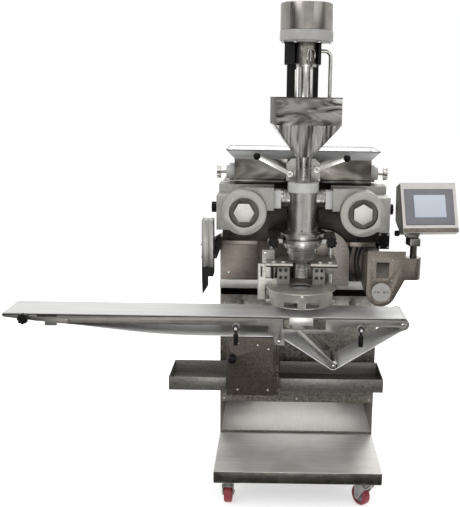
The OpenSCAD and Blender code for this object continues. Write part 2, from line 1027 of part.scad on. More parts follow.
function next_stop(i) = belt_stops[(i + 1) % len(belt_stops)];
function last_stop(i) = belt_stops[(i + len(belt_stops) - 1) % len(belt_stops)];
function heading(a, b) =
  atan2(b[1] - a[1], b[0] - a[0])
  - asin((b[3] * b[2] - a[3] * a[2]) / norm([b[0] - a[0], b[1] - a[1]]));
function turn_angle(from, to, turn) =
  let (raw = (to - from) % 360)
  turn > 0 ? (raw < 0 ? raw + 360 : raw) : (raw > 0 ? raw - 360 : raw);
function belt_outline(off) = [
  for (i = [0:len(belt_stops) - 1], k = [0:belt_arc_steps])
    let (
      stop = belt_stops[i],
      arrive = heading(last_stop(i), stop),
      turn = turn_angle(arrive, heading(stop, next_stop(i)), stop[3]),
      way = arrive + turn * k / belt_arc_steps,
      reach = stop[3] * stop[2] - off
    )
    [stop[0] + reach * sin(way), stop[1] - reach * cos(way)]
];

module conveyor_belt() color("whitesmoke") {
  slab_y(-belt_w / 2, belt_w / 2)
    difference() {
      polygon(belt_outline(belt_t / 2));
      polygon(belt_outline(-belt_t / 2));
    }
}

module side_plate_outline() {
  low_z = bed_z - plate_h;
  bridge_z0 = belt_z - bridge_drop - bridge_h;
  translate([-plate_left, low_z])
    square([plate_left - notch_left, plate_h]);
  translate([notch_right, low_z])
    square([tail_x - notch_right, plate_h]);
  translate([tail_x, tail_z])
    circle(r = tail_end_r);
  translate([-bridge_left, bridge_z0])
    square([bridge_left + bridge_right, bridge_h]);
  translate([-bridge_left, bridge_z0])
    square([bridge_left - notch_left, low_z - bridge_z0]);
  translate([notch_right, bridge_z0])
    square([bridge_right - notch_right, low_z - bridge_z0]);
  translate([drive_x - hanger_half, drive_z - hanger_low])
    square([2 * hanger_half, bridge_z0 - drive_z + hanger_low]);
  translate([nose_x + wedge_len, nose_z + nose_r - nose_plate_h])
    square([-plate_left - nose_x - wedge_len, nose_bar_h]);
  polygon([
    [nose_x, nose_z + nose_r], [nose_x + wedge_len, nose_z + nose_r],
    [nose_x + wedge_len, nose_z + nose_r - nose_plate_h], [nose_x, nose_z - nose_r]
  ]);
}

module conveyor_frame() color("silver") {
  difference() {
    union() {
      for (s = [0, 1])
        mirror([0, s, 0]) {
          slab_y(plate_y, plate_out_y)
            side_plate_outline();
          block(-plate_left - clamp_w, -plate_left, plate_out_y, plate_out_y + clamp_t,
            bed_z - plate_h - clamp_t, bed_z - plate_h - clamp_t + clamp_h);
          block(-plate_left - clamp_w, clamp_w - plate_left, plate_out_y - plate_t,
            plate_out_y + clamp_t, bed_z - plate_h, bed_z - plate_h + clamp_h - clamp_t);
        }
      block(nose_x + wedge_len, -notch_left, -plate_y, plate_y, bed_z - bed_t, bed_z);
      block(notch_right, tail_x - bed_end, -plate_y, plate_y, bed_z - bed_t, bed_z);
      slab_y(-plate_y, plate_y)
        polygon([
          [nose_x, nose_z + nose_r + belt_gap], [nose_x + wedge_len, bed_z],
          [nose_x + wedge_len, bed_z - wedge_t], [nose_x, nose_z - nose_r]
        ]);
      shaft_y(nose_x, nose_z, 2 * nose_r, -plate_y, plate_y);
      for (x = tie_xs)
        shaft_y(x, belt_z - tie_drop, tie_d, -plate_y, plate_y);
    }
    for (x = [bar_left_x, bar_right_x])
      shaft_y(x, bar_z, bar_d + seat_gap, -plate_out_y - overrun, plate_out_y + overrun);
    shaft_y(tail_x, tail_z, roller_shaft_d + bore_gap, -plate_out_y - overrun, plate_out_y + overrun);
    shaft_y(drive_x, drive_z, roller_shaft_d + bore_gap, -plate_out_y - overrun, plate_out_y + overrun);
  }
  arm_dx = takeup_x - arm_pivot_x;
  arm_dz = takeup_z - belt_z + arm_pivot_drop;
  arm_len = norm([arm_dx, arm_dz]);
  for (s = [0, 1])
    mirror([0, s, 0])
      difference() {
        slab_y(plate_out_y, plate_out_y + arm_t)
          translate([arm_pivot_x, belt_z - arm_pivot_drop])
            rotate(atan2(arm_dz, arm_dx)) {
              translate([0, -arm_w / 2])
                square([arm_len, arm_w]);
              circle(d = arm_w);
              translate([arm_len, 0])
                circle(d = arm_w);
            }
        shaft_y(takeup_x, takeup_z, roller_shaft_d + bore_gap, plate_y, plate_out_y + arm_t + overrun);
      }
}

module belt_roller(x, z, d, reach) {
  shaft_y(x, z, d, run_gap - plate_y, plate_y - run_gap);
  shaft_y(x, z, roller_shaft_d, -reach, reach);
}

module tail_roller() color("lightgray") {
  belt_roller(tail_x, tail_z, tail_d, plate_out_y + plate_gap);
}

module drive_roller() color("lightgray") {
  belt_roller(drive_x, drive_z, drive_d, plate_out_y + plate_gap);
}

module takeup_roller() color("lightgray") {
  belt_roller(takeup_x, takeup_z, takeup_d, plate_out_y + arm_t + plate_gap);
}

module lock_lever(x) {
  hub_y = -plate_out_y - bar_front - run_gap;
  difference() {
    shaft_y(x, bar_z, lock_hub_d, hub_y - lock_hub_h, hub_y);
    shaft_y(x, bar_z, stud_d + bore_gap, hub_y - lock_hub_h - overrun, hub_y + overrun);
  }
  mid_y = hub_y - lock_hub_h / 2;
  neck_z = bar_z - lock_neck_root;
  grip_z = neck_z - lock_neck_len;
  shaft_z(x, mid_y, lock_neck_d, grip_z, neck_z);
  shaft_z(x, mid_y, lock_grip_d, grip_z - lock_grip_len, grip_z);
}

module left_lock_lever() color("black") {
  lock_lever(bar_left_x);
}

module right_lock_lever() color("black") {
  lock_lever(bar_right_x);
}

module lifter() color("gainsboro") {
  top = bed_z - belt_gap;
  apron_y = plate_out_y + apron_clear;
  block(-lifter_half, lifter_half, -apron_y - apron_t, apron_y + apron_t, top - lifter_t, top);
  block(-lifter_half, lifter_half, -apron_y - apron_t, -apron_y, belt_z - apron_down, belt_z + apron_up);
  block(-lifter_arm_half, lifter_arm_half, apron_y, lifter_rod_y + lifter_arm_half,
    top - 2 * lifter_t, top);
  shaft_z(0, lifter_rod_y, lifter_rod_d, top - lifter_rod_len, top - lifter_t);
}

// Forming head

module yoke_outline() {
  clear_r = nut_d / 2 + yoke_clear;
  difference() {
    union() {
      translate([-yoke_half, -yoke_front])
        square([2 * yoke_half, yoke_front + gearcase_y]);
      translate([-yoke_half, -yoke_front])
        square([yoke_half + gearcase_x - gearcase_r, yoke_front + pump_back_y]);
    }
    circle(r = clear_r);
    translate([-clear_r, -yoke_front - overrun])
      square([2 * clear_r, yoke_front + overrun]);
  }
}

module barrel_brackets() color("silver") {
  translate([0, 0, flange_z - yoke_t])
    linear_extrude(yoke_t)
      yoke_outline();
  top = collar_top + saddle_h;
  slab_y(saddle_y, saddle_y + saddle_t)
    polygon([
      [-saddle_w / 2, collar_top], [saddle_w / 2, collar_top], [saddle_w / 2, top - saddle_chamfer],
      [saddle_w / 2 - saddle_chamfer, top], [saddle_chamfer - saddle_w / 2, top],
      [-saddle_w / 2, top - saddle_chamfer]
    ]);
  block(-saddle_boss / 2, saddle_boss / 2, neck_d / 2 + seat_gap, saddle_y, collar_top,
    top - saddle_chamfer);
  shaft_y(-lever_pivot_x, collar_top + left_pivot_up, pivot_d, saddle_y - pivot_len, saddle_y);
  shaft_y(lever_pivot_x, collar_top + right_pivot_up, pivot_d, saddle_y - pivot_len, saddle_y);
}

module center_barrel() color("lightgray") {
  difference() {
    union() {
      shaft_z(0, 0, barrel_d, flange_z, barrel_top);
      shaft_z(0, 0, flange_d, flange_z, flange_z + flange_t);
      shaft_z(0, 0, flange_step_d, flange_z, flange_z + flange_t + flange_step);
      for (s = [0, 1])
        mirror([s, 0, 0]) {
          shaft_x(0, outlet_z, inlet_boss_d - rib_w, 0, barrel_d / 2 + boss_len);
          for (share = rib_shares)
            shaft_x(0, outlet_z, rib_d - rib_w, barrel_d / 2 + share * boss_len,
              barrel_d / 2 + share * boss_len + rib_w);
        }
    }
    shaft_z(0, 0, barrel_bore, flange_z - overrun, barrel_top + overrun);
    shaft_z(0, 0, collar_d + seat_gap, barrel_top, collar_top);
    shaft_x(0, outlet_z, outlet_d, -barrel_d - boss_len, barrel_d + boss_len);
  }
}

module plastic_seals() color("white") {
  difference() {
    shaft_z(0, 0, collar_d, barrel_top, collar_top);
    shaft_z(0, 0, neck_d + seat_gap, barrel_top + collar_floor, collar_top + overrun);
    shaft_z(0, 0, tube_d + tube_wall_gap, barrel_top - overrun, barrel_top + collar_floor + overrun);
  }
  for (s = [0, 1])
    mirror([s, 0, 0]) {
      near_x = barrel_d / 2 + boss_len;
      difference() {
        block(near_x, arm_x, -spacer_half, spacer_half, outlet_z - spacer_half, outlet_z + spacer_half);
        shaft_x(0, outlet_z, outlet_d, near_x - overrun, arm_x + overrun);
      }
      difference() {
        union() {
          shaft_x(agitator_y, agitator_z, bearing_d, hopper_half, hopper_half + bearing_len);
          shaft_x(agitator_y, agitator_z, bearing_nose_d, hopper_half,
            hopper_half + bearing_len + bearing_nose);
        }
        shaft_x(agitator_y, agitator_z, agitator_d + bore_gap, hopper_half - overrun,
          hopper_half + bearing_len + bearing_nose + overrun);
      }
    }
}

module nozzle() color("lightgray") {
  nut_z = flange_z - nut_h;
  low_z = nut_z - nozzle_h;
  band_z = low_z + nozzle_band_share * nozzle_h;
  difference() {
    shaft_z(0, 0, nut_d, nut_z, flange_z);
    shaft_z(0, 0, nut_bore, nut_z - overrun, flange_z + overrun);
  }
  difference() {
    union() {
      shaft_z(0, 0, nut_bore - seat_gap, nut_z, flange_z);
      shaft_z(0, 0, nozzle_d, band_z, nut_z);
      shaft_z(0, 0, nozzle_band_d, low_z, band_z);
      shaft_z(0, 0, nozzle_tube_d, cover_top + nozzle_tip_gap, low_z);
    }
    shaft_z(0, 0, nozzle_tube_bore, cover_top, flange_z + overrun);
    translate([0, 0, low_z + nozzle_throat_share * nozzle_h])
      cylinder(d1 = nozzle_tube_bore, d2 = barrel_bore, h = flange_z - low_z);
  }
}

module pump_housings() color("silver") {
  for (s = [0, 1])
    mirror([s, 0, 0])
      difference() {
        union() {
          shaft_y(pump_x, pump_z, pump_cover_d, pump_front_y, pump_back_y);
          block(pump_x, pump_x + pump_side, pump_front_y, pump_back_y,
            pump_z - pump_low, pump_z + pump_high);
          block(arm_x, pump_x, -arm_half_y, arm_half_y, outlet_z - arm_low, seat_z);
          block(arm_x, pump_x + pump_side, inlet_front - pump_wall, pump_back_y, pump_z + pump_high,
            seat_z);
          block(arm_x, pump_x, inlet_front - pump_wall, pump_back_y, pump_z, seat_z);
        }
        shaft_y(pump_x, pump_z, pump_bore, pump_front_y - overrun, pump_back_y - pump_wall);
        shaft_y(pump_x, pump_z, shaft_d + bore_gap, pump_front_y, pump_back_y + overrun);
        block(pump_x - inlet_w / 2, pump_x + inlet_w / 2, inlet_front, inlet_back, pump_z,
          seat_z + overrun);
        shaft_x(0, outlet_z, outlet_d, arm_x - overrun, pump_x);
      }
}

module pump_covers() color("lightgray") {
  for (s = [0, 1])
    mirror([s, 0, 0]) {
      front = pump_front_y - cover_t;
      floor_y = front + cover_recess;
      difference() {
        shaft_y(pump_x, pump_z, pump_cover_d, front, pump_front_y);
        shaft_y(pump_x, pump_z, cover_recess_d, front - overrun, floor_y);
      }
      translate([pump_x, floor_y, pump_z])
        rotate([90, (1 - s) * cover_hex_turn, 0])
          cylinder(d = cover_hex_d, h = cover_hex_h, $fn = 6);
    }
}

module pump_rotor(x) {
  front = pump_front_y + rotor_clear;
  back = pump_back_y - pump_wall - rotor_clear;
  outer = pump_bore - 2 * rotor_clear;
  translate([x, 0, pump_z])
    slab_y(front, back) {
      circle(d = rotor_core_d);
      for (i = [0:vane_count / 2 - 1])
        rotate((i + 1 / 2) * 360 / vane_count)
          square([outer, vane_t], center = true);
    }
  shaft_y(x, pump_z, shaft_d, front + rotor_clear, upper_y + motor_gap + motor_bore - run_gap);
}

module left_rotor() color("gainsboro") {
  pump_rotor(-pump_x);
}

module right_rotor() color("gainsboro") {
  pump_rotor(pump_x);
}

// Dough hopper and its agitators

module dough_hopper() color("silver") {
  wall_z = seat_z + hopper_h;
  difference() {
    union() {
      block(-hopper_half, hopper_half, hopper_front, hopper_back, seat_z, wall_z);
      hull() {
        block(-hopper_half, hopper_half, hopper_front, hopper_back, wall_z - rim_t, wall_z);
        block(-hopper_half - rim_flare, hopper_half + rim_flare, hopper_front - rim_flare,
          hopper_back + rim_flare, wall_z + rim_h - rim_t, wall_z + rim_h);
      }
      for (s = [0, 1])
        mirror([s, 0, 0])
          shaft_x(hopper_front, seat_z + bead_up, bead_d, bead_in, hopper_half);
    }
    for (s = [0, 1])
      mirror([s, 0, 0]) {
        block(divider_t / 2, hopper_half - hopper_wall, hopper_front + hopper_wall,
          hopper_back - hopper_wall, seat_z + hopper_wall, wall_z + overrun);
        block(pump_x - inlet_w / 2, pump_x + inlet_w / 2, inlet_front, inlet_back, seat_z - overrun,
          seat_z + hopper_wall + overrun);
        shaft_x(agitator_y, agitator_z, agitator_d + bore_gap, hopper_half - hopper_wall - overrun,
          hopper_half + overrun);
      }
    hull() {
      block(hopper_wall - hopper_half, hopper_half - hopper_wall, hopper_front + hopper_wall,
        hopper_back - hopper_wall, wall_z - rim_t, wall_z);
      block(hopper_wall - hopper_half - rim_flare, hopper_half + rim_flare - hopper_wall,
        hopper_front - rim_flare + hopper_wall, hopper_back + rim_flare - hopper_wall,
        wall_z + rim_h, wall_z + rim_h + overrun);
    }
  }
  for (s = [0, 1])
    mirror([s, 0, 0])
      difference() {
        shaft_x(agitator_y, agitator_z, bush_d, divider_t / 2, divider_t / 2 + bush_len);
        shaft_x(agitator_y, agitator_z, agitator_d + bore_gap, divider_t / 2, divider_t + bush_len);
      }
}

module agitator() {
  inner = divider_t / 2 + run_gap;
  outer = hopper_half + bearing_len + bearing_nose;
  shaft_x(agitator_y, agitator_z, agitator_d, inner, outer + wheel_stem + handwheel_t / 2);
  for (i = [0:len(paddle_shares) - 1]) {
    x = paddle_shares[i] * hopper_half;
    translate([x, agitator_y, agitator_z])
      rotate([i * paddle_turn, 0, 0])
        block(0, paddle_w, -paddle_t / 2, paddle_t / 2, -paddle_r, paddle_r);
  }
  translate([outer + wheel_stem, agitator_y, agitator_z])
    rotate([0, 90, 0])
      lobed_disc(handwheel_d, handwheel_t, lobe_d, lobe_count, (handwheel_d - lobe_d) / 2 + lobe_out);
}

module left_agitator() color("gainsboro") {
  mirror([1, 0, 0])
    agitator();
}

module right_agitator() color("gainsboro") {
  agitator();
}

module clamp_lever(length, lift) {
  rotate([0, -lift, 0]) {
    difference() {
      union() {
        shaft_y(0, 0, lever_hub_d, saddle_y - lever_hub_d, saddle_y - run_gap);
        block(0, length, saddle_y - 2 * lever_t, saddle_y - lever_t, -lever_wide / 2, lever_wide / 2);
      }
      shaft_y(0, 0, pivot_d + bore_gap, saddle_y - lever_hub_d - overrun, saddle_y);
    }
    translate([length + ball_d / 2 - ball_sink, saddle_y - lever_t - lever_t / 2, 0])
      sphere(d = ball_d);
  }
}

module left_clamp_lever() color("black") {
  translate([-lever_pivot_x, 0, collar_top + left_pivot_up])
    mirror([1, 0, 0])
      clamp_lever(left_lever_len, left_lever_lift);
}

module right_clamp_lever() color("black") {
  translate([lever_pivot_x, 0, collar_top + right_pivot_up])
    clamp_lever(right_lever_len, right_lever_lift);
}

// Third filler: funnel, auger, column and motor

// Square box and cone of the funnel in one, drawn smaller all round by inset
module funnel_shape(inset, ring_d, top) {
  half = funnel_half - inset;
  hull() {
    rotate([0, 0, funnel_yaw])
      block(-half, half, -half, half, box_base_z, top);
    translate([0, 0, cone_z])
      cylinder(d = ring_d, h = funnel_wall, $fn = cone_sides);
  }
}

module funnel_hopper() color("silver") {
  tip_z = cover_top + nozzle_tip_gap;
  neck_z = barrel_top + collar_floor;
  difference() {
    union() {
      funnel_shape(0, neck_d + cone_rim, funnel_top);
      shaft_z(0, 0, neck_d, neck_z, cone_z + funnel_wall);
      shaft_z(0, 0, tube_d, tip_z, neck_z + funnel_wall);
    }
    funnel_shape(funnel_wall, neck_d - 2 * funnel_wall, funnel_top + overrun);
    shaft_z(0, 0, neck_d - 2 * funnel_wall - neck_step, neck_z + funnel_wall, cone_z + overrun);
    shaft_z(0, 0, tube_bore, tip_z - overrun, neck_z + funnel_wall + overrun);
  }
}

module filler_auger() color("gainsboro") {
  low_z = barrel_top + collar_floor + 2 * funnel_wall;
  shaft_z(0, 0, auger_shaft_d, low_z, gear_z + gear_h / 2);
  translate([0, 0, low_z])
    linear_extrude(flight_h, twist = -360 * flight_turns, slices = flight_slices, $fn = flight_sides)
      square([flight_d, flight_t], center = true);
}

module filler_column() color("dimgray") {
  inner = funnel_half - funnel_wall;
  post_z = bridge_z + bridge_t;
  difference() {
    rotate([0, 0, funnel_yaw])
      block(-inner, inner, bridge_y0, bridge_y1, bridge_z, post_z);
    shaft_z(0, 0, auger_shaft_d + bore_gap, bridge_z - overrun, post_z + overrun);
    shaft_z(pipe_x, pipe_y, pipe_bore, bridge_z - overrun, post_z + overrun);
  }
  difference() {
    shaft_z(0, 0, column_tube_d, post_z, column_top - gear_collar_h);
    shaft_z(0, 0, column_tube_bore, post_z - overrun, column_top);
  }
  block(left_post_x - left_post_w / 2, left_post_x + left_post_w / 2, post_y, post_y + post_depth, post_z,
    column_top);
  block(right_post_x - right_post_w / 2, right_post_x + right_post_w / 2, post_y, post_y + post_depth,
    post_z, column_top);
  difference() {
    union() {
      block(-gear_left, gear_right, -gear_recess, post_y + post_depth, gear_z, gear_z + gear_h);
      block(-gear_left, -gear_cheek, -gear_front, 0, gear_z, gear_z + gear_h);
      block(gear_cheek, gear_right, -gear_front, 0, gear_z, gear_z + gear_h);
      shaft_z(0, 0, gear_case_d, gear_z, gear_z + gear_h);
      shaft_z(0, 0, gear_collar_d, column_top - gear_collar_h, gear_z);
    }
    shaft_z(0, 0, auger_shaft_d + bore_gap, column_top - gear_collar_h - overrun,
      gear_z + gear_h / 2 + overrun);
  }
}

module motor_ring() color("white") {
  ring_z = gear_z + gear_h;
  shaft_z(0, 0, ring_lip_d, ring_z, ring_z + ring_lip_h);
  shaft_z(0, 0, ring_d, ring_z + ring_lip_h, ring_z + ring_lip_h + ring_h);
}

module motor_cover() color("silver") {
  base_z = gear_z + gear_h + ring_lip_h + ring_h;
  r = motor_d / 2;
  wall_r = r - motor_wall;
  translate([0, 0, base_z])
    rotate_extrude()
      polygon([
        [wall_r, 0], [r, 0], [r, motor_h - motor_edge], [r - motor_edge, motor_h], [0, motor_h],
        [0, motor_h - motor_wall], [wall_r, motor_h - motor_wall]
      ]);
  shaft_z(0, 0, motor_core_d, base_z, base_z + motor_core_share * motor_h);
}

module bent_pipe() color("silver") {
  bend_x = gear_right + pipe_stub;
  top_z = gear_z + pipe_up;
  difference() {
    union() {
      shaft_x(pipe_y, top_z, pipe_d, gear_right, bend_x);
      translate([bend_x, pipe_y, top_z - pipe_bend])
        rotate([90, 0, 0])
          rotate_extrude(angle = 90)
            translate([pipe_bend, 0])
              circle(d = pipe_d);
      shaft_z(pipe_x, pipe_y, pipe_d, bridge_z + bridge_t, top_z - pipe_bend);
    }
    shaft_z(pipe_x, pipe_y, pipe_bore, bridge_z, top_z - pipe_bend);
  }
}

// Shutter

module shutter_housing() {
  floor_z0 = guard_z + floor_up - housing_floor;
  inner_d = housing_d - 2 * housing_wall;
  difference() {
    shaft_z(0, 0, housing_d, guard_z, cover_z);
    shaft_z(0, 0, inner_d, guard_z - overrun, floor_z0);
    shaft_z(0, 0, inner_d, floor_z0 + housing_floor, cover_z + overrun);
    shaft_z(0, 0, floor_hole_d, floor_z0 - overrun, floor_z0 + housing_floor + overrun);
    for (s = [0, 1])
      mirror([s, 0, 0])
        block(window_in, window_out, -housing_d, 0, guard_z + window_low, floor_z0 - window_low);
  }
}

module shutter_carriage() color("silver") {
  shutter_housing();
  difference() {
    union() {
      shaft_z(0, 0, cover_d, cover_z, cover_top);
      shaft_y(0, cover_z + cover_plate_t / 2 - front_bolt_d / 2, front_bolt_d,
        -cover_d / 2 - front_bolt_h / 2, -housing_d / 2 - housing_wall);
    }
    shaft_z(0, 0, cover_hole_d, cover_z - overrun, cover_top + overrun);
    shaft_z(0, 0, housing_d, guard_z, cover_z);
  }
  plate_half = rod_x + slider_half;
  slider_z = crosshead_z - slider_h;
  difference() {
    union() {
      block(-plate_half, plate_half, -crosshead_front, rod_y + slider_half, crosshead_z,
        crosshead_z + crosshead_t);
      for (s = [0, 1])
        mirror([s, 0, 0]) {
          block(leg_in, leg_out, leg_y0, leg_y1, cover_top, crosshead_z);
          block(rod_x - slider_half, rod_x + slider_half, rod_y - slider_half, rod_y + slider_half,
            slider_z, crosshead_z);
        }
      for (share = bolt_shares)
        shaft_z(share * plate_half, -crosshead_front / 2, bolt_d, crosshead_z + crosshead_t,
          crosshead_z + crosshead_t + bolt_h);
    }
    shaft_z(0, 0, crosshead_hole, crosshead_z - overrun, crosshead_z + crosshead_t + overrun);
    block(-crosshead_hole / 2, crosshead_hole / 2, -crosshead_front - overrun, 0, crosshead_z - overrun,
      crosshead_z + crosshead_t + overrun);
    for (x = [-rod_x, rod_x])
      shaft_z(x, rod_y, rod_d + bore_gap, slider_z - overrun, crosshead_z + crosshead_t + overrun);
  }
  slot_x = -(side_plate_out + side_plate_in) / 2;
  side_y1 = side_plate_y + side_plate_t;
  difference() {
    block(-side_plate_out, -side_plate_in, side_plate_y, side_y1, cover_top - side_plate_h / 2,
      cover_top + side_plate_h / 2 + crosshead_t);
    block(slot_x - side_slot_w / 2, slot_x + side_slot_w / 2, side_plate_y - overrun, side_y1 + overrun,
      cover_top + side_arm_h + crosshead_t / 2, cover_top + side_slot_h);
  }
  block(-side_plate_in, -side_arm_in, side_plate_y, side_y1, cover_top, cover_top + side_arm_h);
  block(-back_plate_out, -back_plate_in, side_y1, side_y1 + back_plate_t, cover_top,
    cover_top + back_plate_h);
}

// One triangular blade of the six that close on the nozzle axis and slide apart along their shared edges
module shutter_blade(i) {
  start = 360 / blade_count * i;
  middle = start + 180 / blade_count;
  back_off = blade_edge_gap / sin(180 / blade_count);
  translate([back_off * cos(middle), back_off * sin(middle), guard_z + floor_up + run_gap])
    linear_extrude(blade_t)
      polygon([
        [0, 0], [blade_r * cos(start), blade_r * sin(start)],
        [blade_r * cos(start + 360 / blade_count), blade_r * sin(start + 360 / blade_count)]
      ]);
}

module shutter_blade_1() color("ivory") shutter_blade(0);
module shutter_blade_2() color("ivory") shutter_blade(1);
module shutter_blade_3() color("ivory") shutter_blade(2);
module shutter_blade_4() color("ivory") shutter_blade(3);
module shutter_blade_5() color("ivory") shutter_blade(4);
module shutter_blade_6() color("ivory") shutter_blade(5);

// Flour duster and touch panel

// Shield-shaped front of the duster, drawn smaller all round by inset
module duster_outline(inset) {
  r = duster_low_r - inset;
  right = duster_right - inset;
  corner = [right - duster_x, duster_taper_z - duster_axis_z];
  touch = atan2(corner[1], corner[0]) - acos(r / norm(corner));
  translate([duster_x, duster_axis_z]) {
    circle(r = r);
    polygon([
      [-r, 0], [r * cos(touch), r * sin(touch)], corner, [right - duster_x, duster_top - duster_axis_z],
      [-r, duster_top - duster_axis_z]
    ]);
  }
}

module duster_box() color("silver") {
  difference() {
    union() {
      slab_y(duster_front, duster_back)
        duster_outline(0);
      shaft_z(holder_x, holder_y, holder_d, holder_z, holder_z + holder_h);
      block(duster_right - duster_wall, holder_x, duster_front, duster_front + duster_wall, holder_z,
        holder_z + holder_h);
    }
    slab_y(duster_front + duster_wall, duster_back - duster_wall)
      union() {
        duster_outline(duster_wall);
        translate([duster_left + duster_wall, duster_axis_z])
          square([duster_w - 2 * duster_wall, duster_top - duster_axis_z + overrun]);
      }
    shaft_y(duster_x, duster_axis_z, disc_d + bore_gap, duster_front - overrun,
      duster_front + duster_wall + overrun);
    shaft_y(duster_x, duster_axis_z, roller_shaft_d + bore_gap, duster_back - duster_wall - overrun,
      duster_back + overrun);
    block(view_x, view_x + view_w, duster_front - overrun, duster_front + duster_wall + overrun, view_z,
      view_z + view_h);
    slab_x(duster_left - overrun, duster_right + overrun)
      polygon([
        [duster_front + duster_wall, duster_top], [duster_back + overrun, duster_top - duster_slope],
        [duster_back + overrun, duster_top + overrun], [duster_front + duster_wall, duster_top + overrun]
      ]);
    block(duster_x - slot_w / 2, duster_x + slot_w / 2, duster_front + slot_margin,
      duster_back - slot_margin, duster_axis_z - duster_low_r - overrun, duster_axis_z);
    shaft_z(holder_x, holder_y, pole_d + bore_gap, holder_z - overrun, holder_z + holder_h + overrun);
  }
  block(view_x - view_lap, view_x + view_w + view_lap, duster_front + duster_wall,
    duster_front + duster_wall + view_t, view_z - view_lap, view_z + view_h + view_lap);
}

module duster_roller() color("white") {
  difference() {
    shaft_y(duster_x, duster_axis_z, disc_d, duster_front - disc_proud, duster_front - disc_proud + disc_t);
    for (x = [-disc_hole_r, disc_hole_r])
      shaft_y(duster_x + x, duster_axis_z, disc_hole_d, duster_front - disc_proud - overrun,
        duster_front - disc_proud + disc_t / 2);
  }
  inside = duster_front - disc_proud + disc_t;
  difference() {
    shaft_y(duster_x, duster_axis_z, roller_d, inside, duster_back - duster_wall - roller_gap);
    for (i = [0:flute_count - 1])
      translate([duster_x, 0, duster_axis_z])
        rotate([0, i * 360 / flute_count, 0])
          shaft_y(roller_d / 2, 0, flute_d, inside + roller_gap, duster_back);
  }
  shaft_y(duster_x, duster_axis_z, roller_shaft_d, inside, duster_back + plate_gap);
}

// The head and the housing stand turned about the pole
module panel_turned() {
  translate([holder_x, holder_y, 0])
    rotate([0, 0, panel_turn])
      translate([-holder_x, -holder_y, 0])
        children();
}

module panel_post() color("lightgray") {
  shaft_z(holder_x, holder_y, pole_d, holder_z, pole_top);
  panel_turned() difference() {
    union() {
      block(holder_x - head_half, holder_x + head_half, holder_y - head_front, panel_hinge_y + hinge_r,
        pole_top - head_h, pole_top);
      block(holder_x - head_half, holder_x + head_half, panel_hinge_y - hinge_r, panel_hinge_y + hinge_r,
        pole_top - head_h, panel_hinge_z);
      shaft_x(panel_hinge_y, panel_hinge_z, 2 * hinge_r, holder_x - head_half, holder_x + head_half);
    }
    shaft_x(panel_hinge_y, panel_hinge_z, panel_pin_d + bore_gap, holder_x - head_half - overrun,
      holder_x + head_half + overrun);
  }
}

// Side profile of the panel housing about its tilt axis, in depth and height
module panel_profile() {
  top = panel_h - panel_below;
  polygon([
    [-panel_front, -panel_below], [-panel_front, top], [panel_top_d - panel_front, top],
    [panel_depth - panel_front, panel_heel], [-hinge_r, panel_chin], [-panel_heel, -panel_below]
  ]);
}

module panel_pose() {
  panel_turned()
    translate([0, panel_hinge_y, panel_hinge_z])
      rotate([-panel_lean, 0, 0])
        children();
}

module panel_housing() color("gainsboro") {
  x0 = panel_center_x - panel_w / 2;
  lug_x = head_half + run_gap;
  panel_pose() {
    difference() {
      slab_x(x0, x0 + panel_w)
        panel_profile();
      block(panel_center_x - screen_w / 2, panel_center_x + screen_w / 2, -panel_front - overrun,
        screen_t - screen_proud - panel_front, screen_low - panel_below,
        screen_low + screen_h - panel_below);
      block(panel_center_x - screen_w / 2 + screen_ledge, panel_center_x + screen_w / 2 - screen_ledge,
        -panel_front, panel_hollow - panel_front, screen_low + screen_ledge - panel_below,
        screen_low + screen_h - screen_ledge - panel_below);
    }
    for (x = [holder_x - lug_x - lug_t, holder_x + lug_x])
      slab_x(x, x + lug_t) {
        circle(r = hinge_r);
        polygon([[-hinge_r, 0], [hinge_r, 0], [0, panel_heel], [-panel_heel, panel_chin]]);
      }
    shaft_x(0, 0, panel_pin_d, holder_x - lug_x - lug_t - panel_stem, holder_x + lug_x + lug_t);
    translate([holder_x - lug_x - lug_t - panel_stem, 0, 0])
      rotate([0, -90, 0])
        cylinder(d = panel_knob_d, h = panel_knob_h);
  }
}

module touch_screen() color("slategray") {
  half = screen_w / 2 - screen_gap;
  panel_pose()
    block(panel_center_x - half, panel_center_x + half, -panel_front - screen_proud,
      screen_t - screen_proud - panel_front, screen_low - panel_below + screen_gap,
      screen_low + screen_h - panel_below - screen_gap);
}

// Aluminium post and bracket on the left

module t_slot() {
  translate([-slot_open / 2, -slot_deep])
    square([slot_open, slot_deep + overrun]);
  translate([-slot_wide / 2, -slot_deep])
    square([slot_wide, slot_deep - slot_lip]);
}

module accessory_post() color("silver") {
  translate([post_x0, post_y0, post_z0])
    linear_extrude(post_len)
      difference() {
        square([post_w, post_d]);
        for (share = core_shares)
          translate([post_w / 2, share * post_d])
            circle(d = core_d);
        translate([post_w / 2, 0])
          rotate(180)
            t_slot();
        translate([post_w / 2, post_d])
          t_slot();
        for (share = core_shares) {
          translate([0, share * post_d])
            rotate(90)
              t_slot();
          translate([post_w, share * post_d])
            rotate(-90)
              t_slot();
        }
      }
}

module post_bracket() color("black") {
  low = post_z0 + bracket_low;
  slab_x(post_x1, -half_w)
    polygon([
      [post_y0, low + bracket_cut], [post_y0 + post_d, low], [front_y + bracket_back, low],
      [front_y + bracket_back, low + bracket_h - bracket_cut], [post_y0 + post_d, low + bracket_h],
      [post_y0, low + bracket_h]
    ]);
  block(post_x0, post_x1, post_y0, post_y0 + post_d, post_z0 - foot_block_h, post_z0);
  slab_y(post_y0, post_y0 + pointer_t)
    polygon([
      [post_x0, post_z0 - foot_block_h], [post_x0 + pointer_w, post_z0 - foot_block_h],
      [post_x0 + pointer_w, post_z0 - foot_block_h - pointer_len / 2],
      [post_x0 + pointer_tip, post_z0 - foot_block_h - pointer_len]
    ]);
}

// Cables between the deck and the cross rail

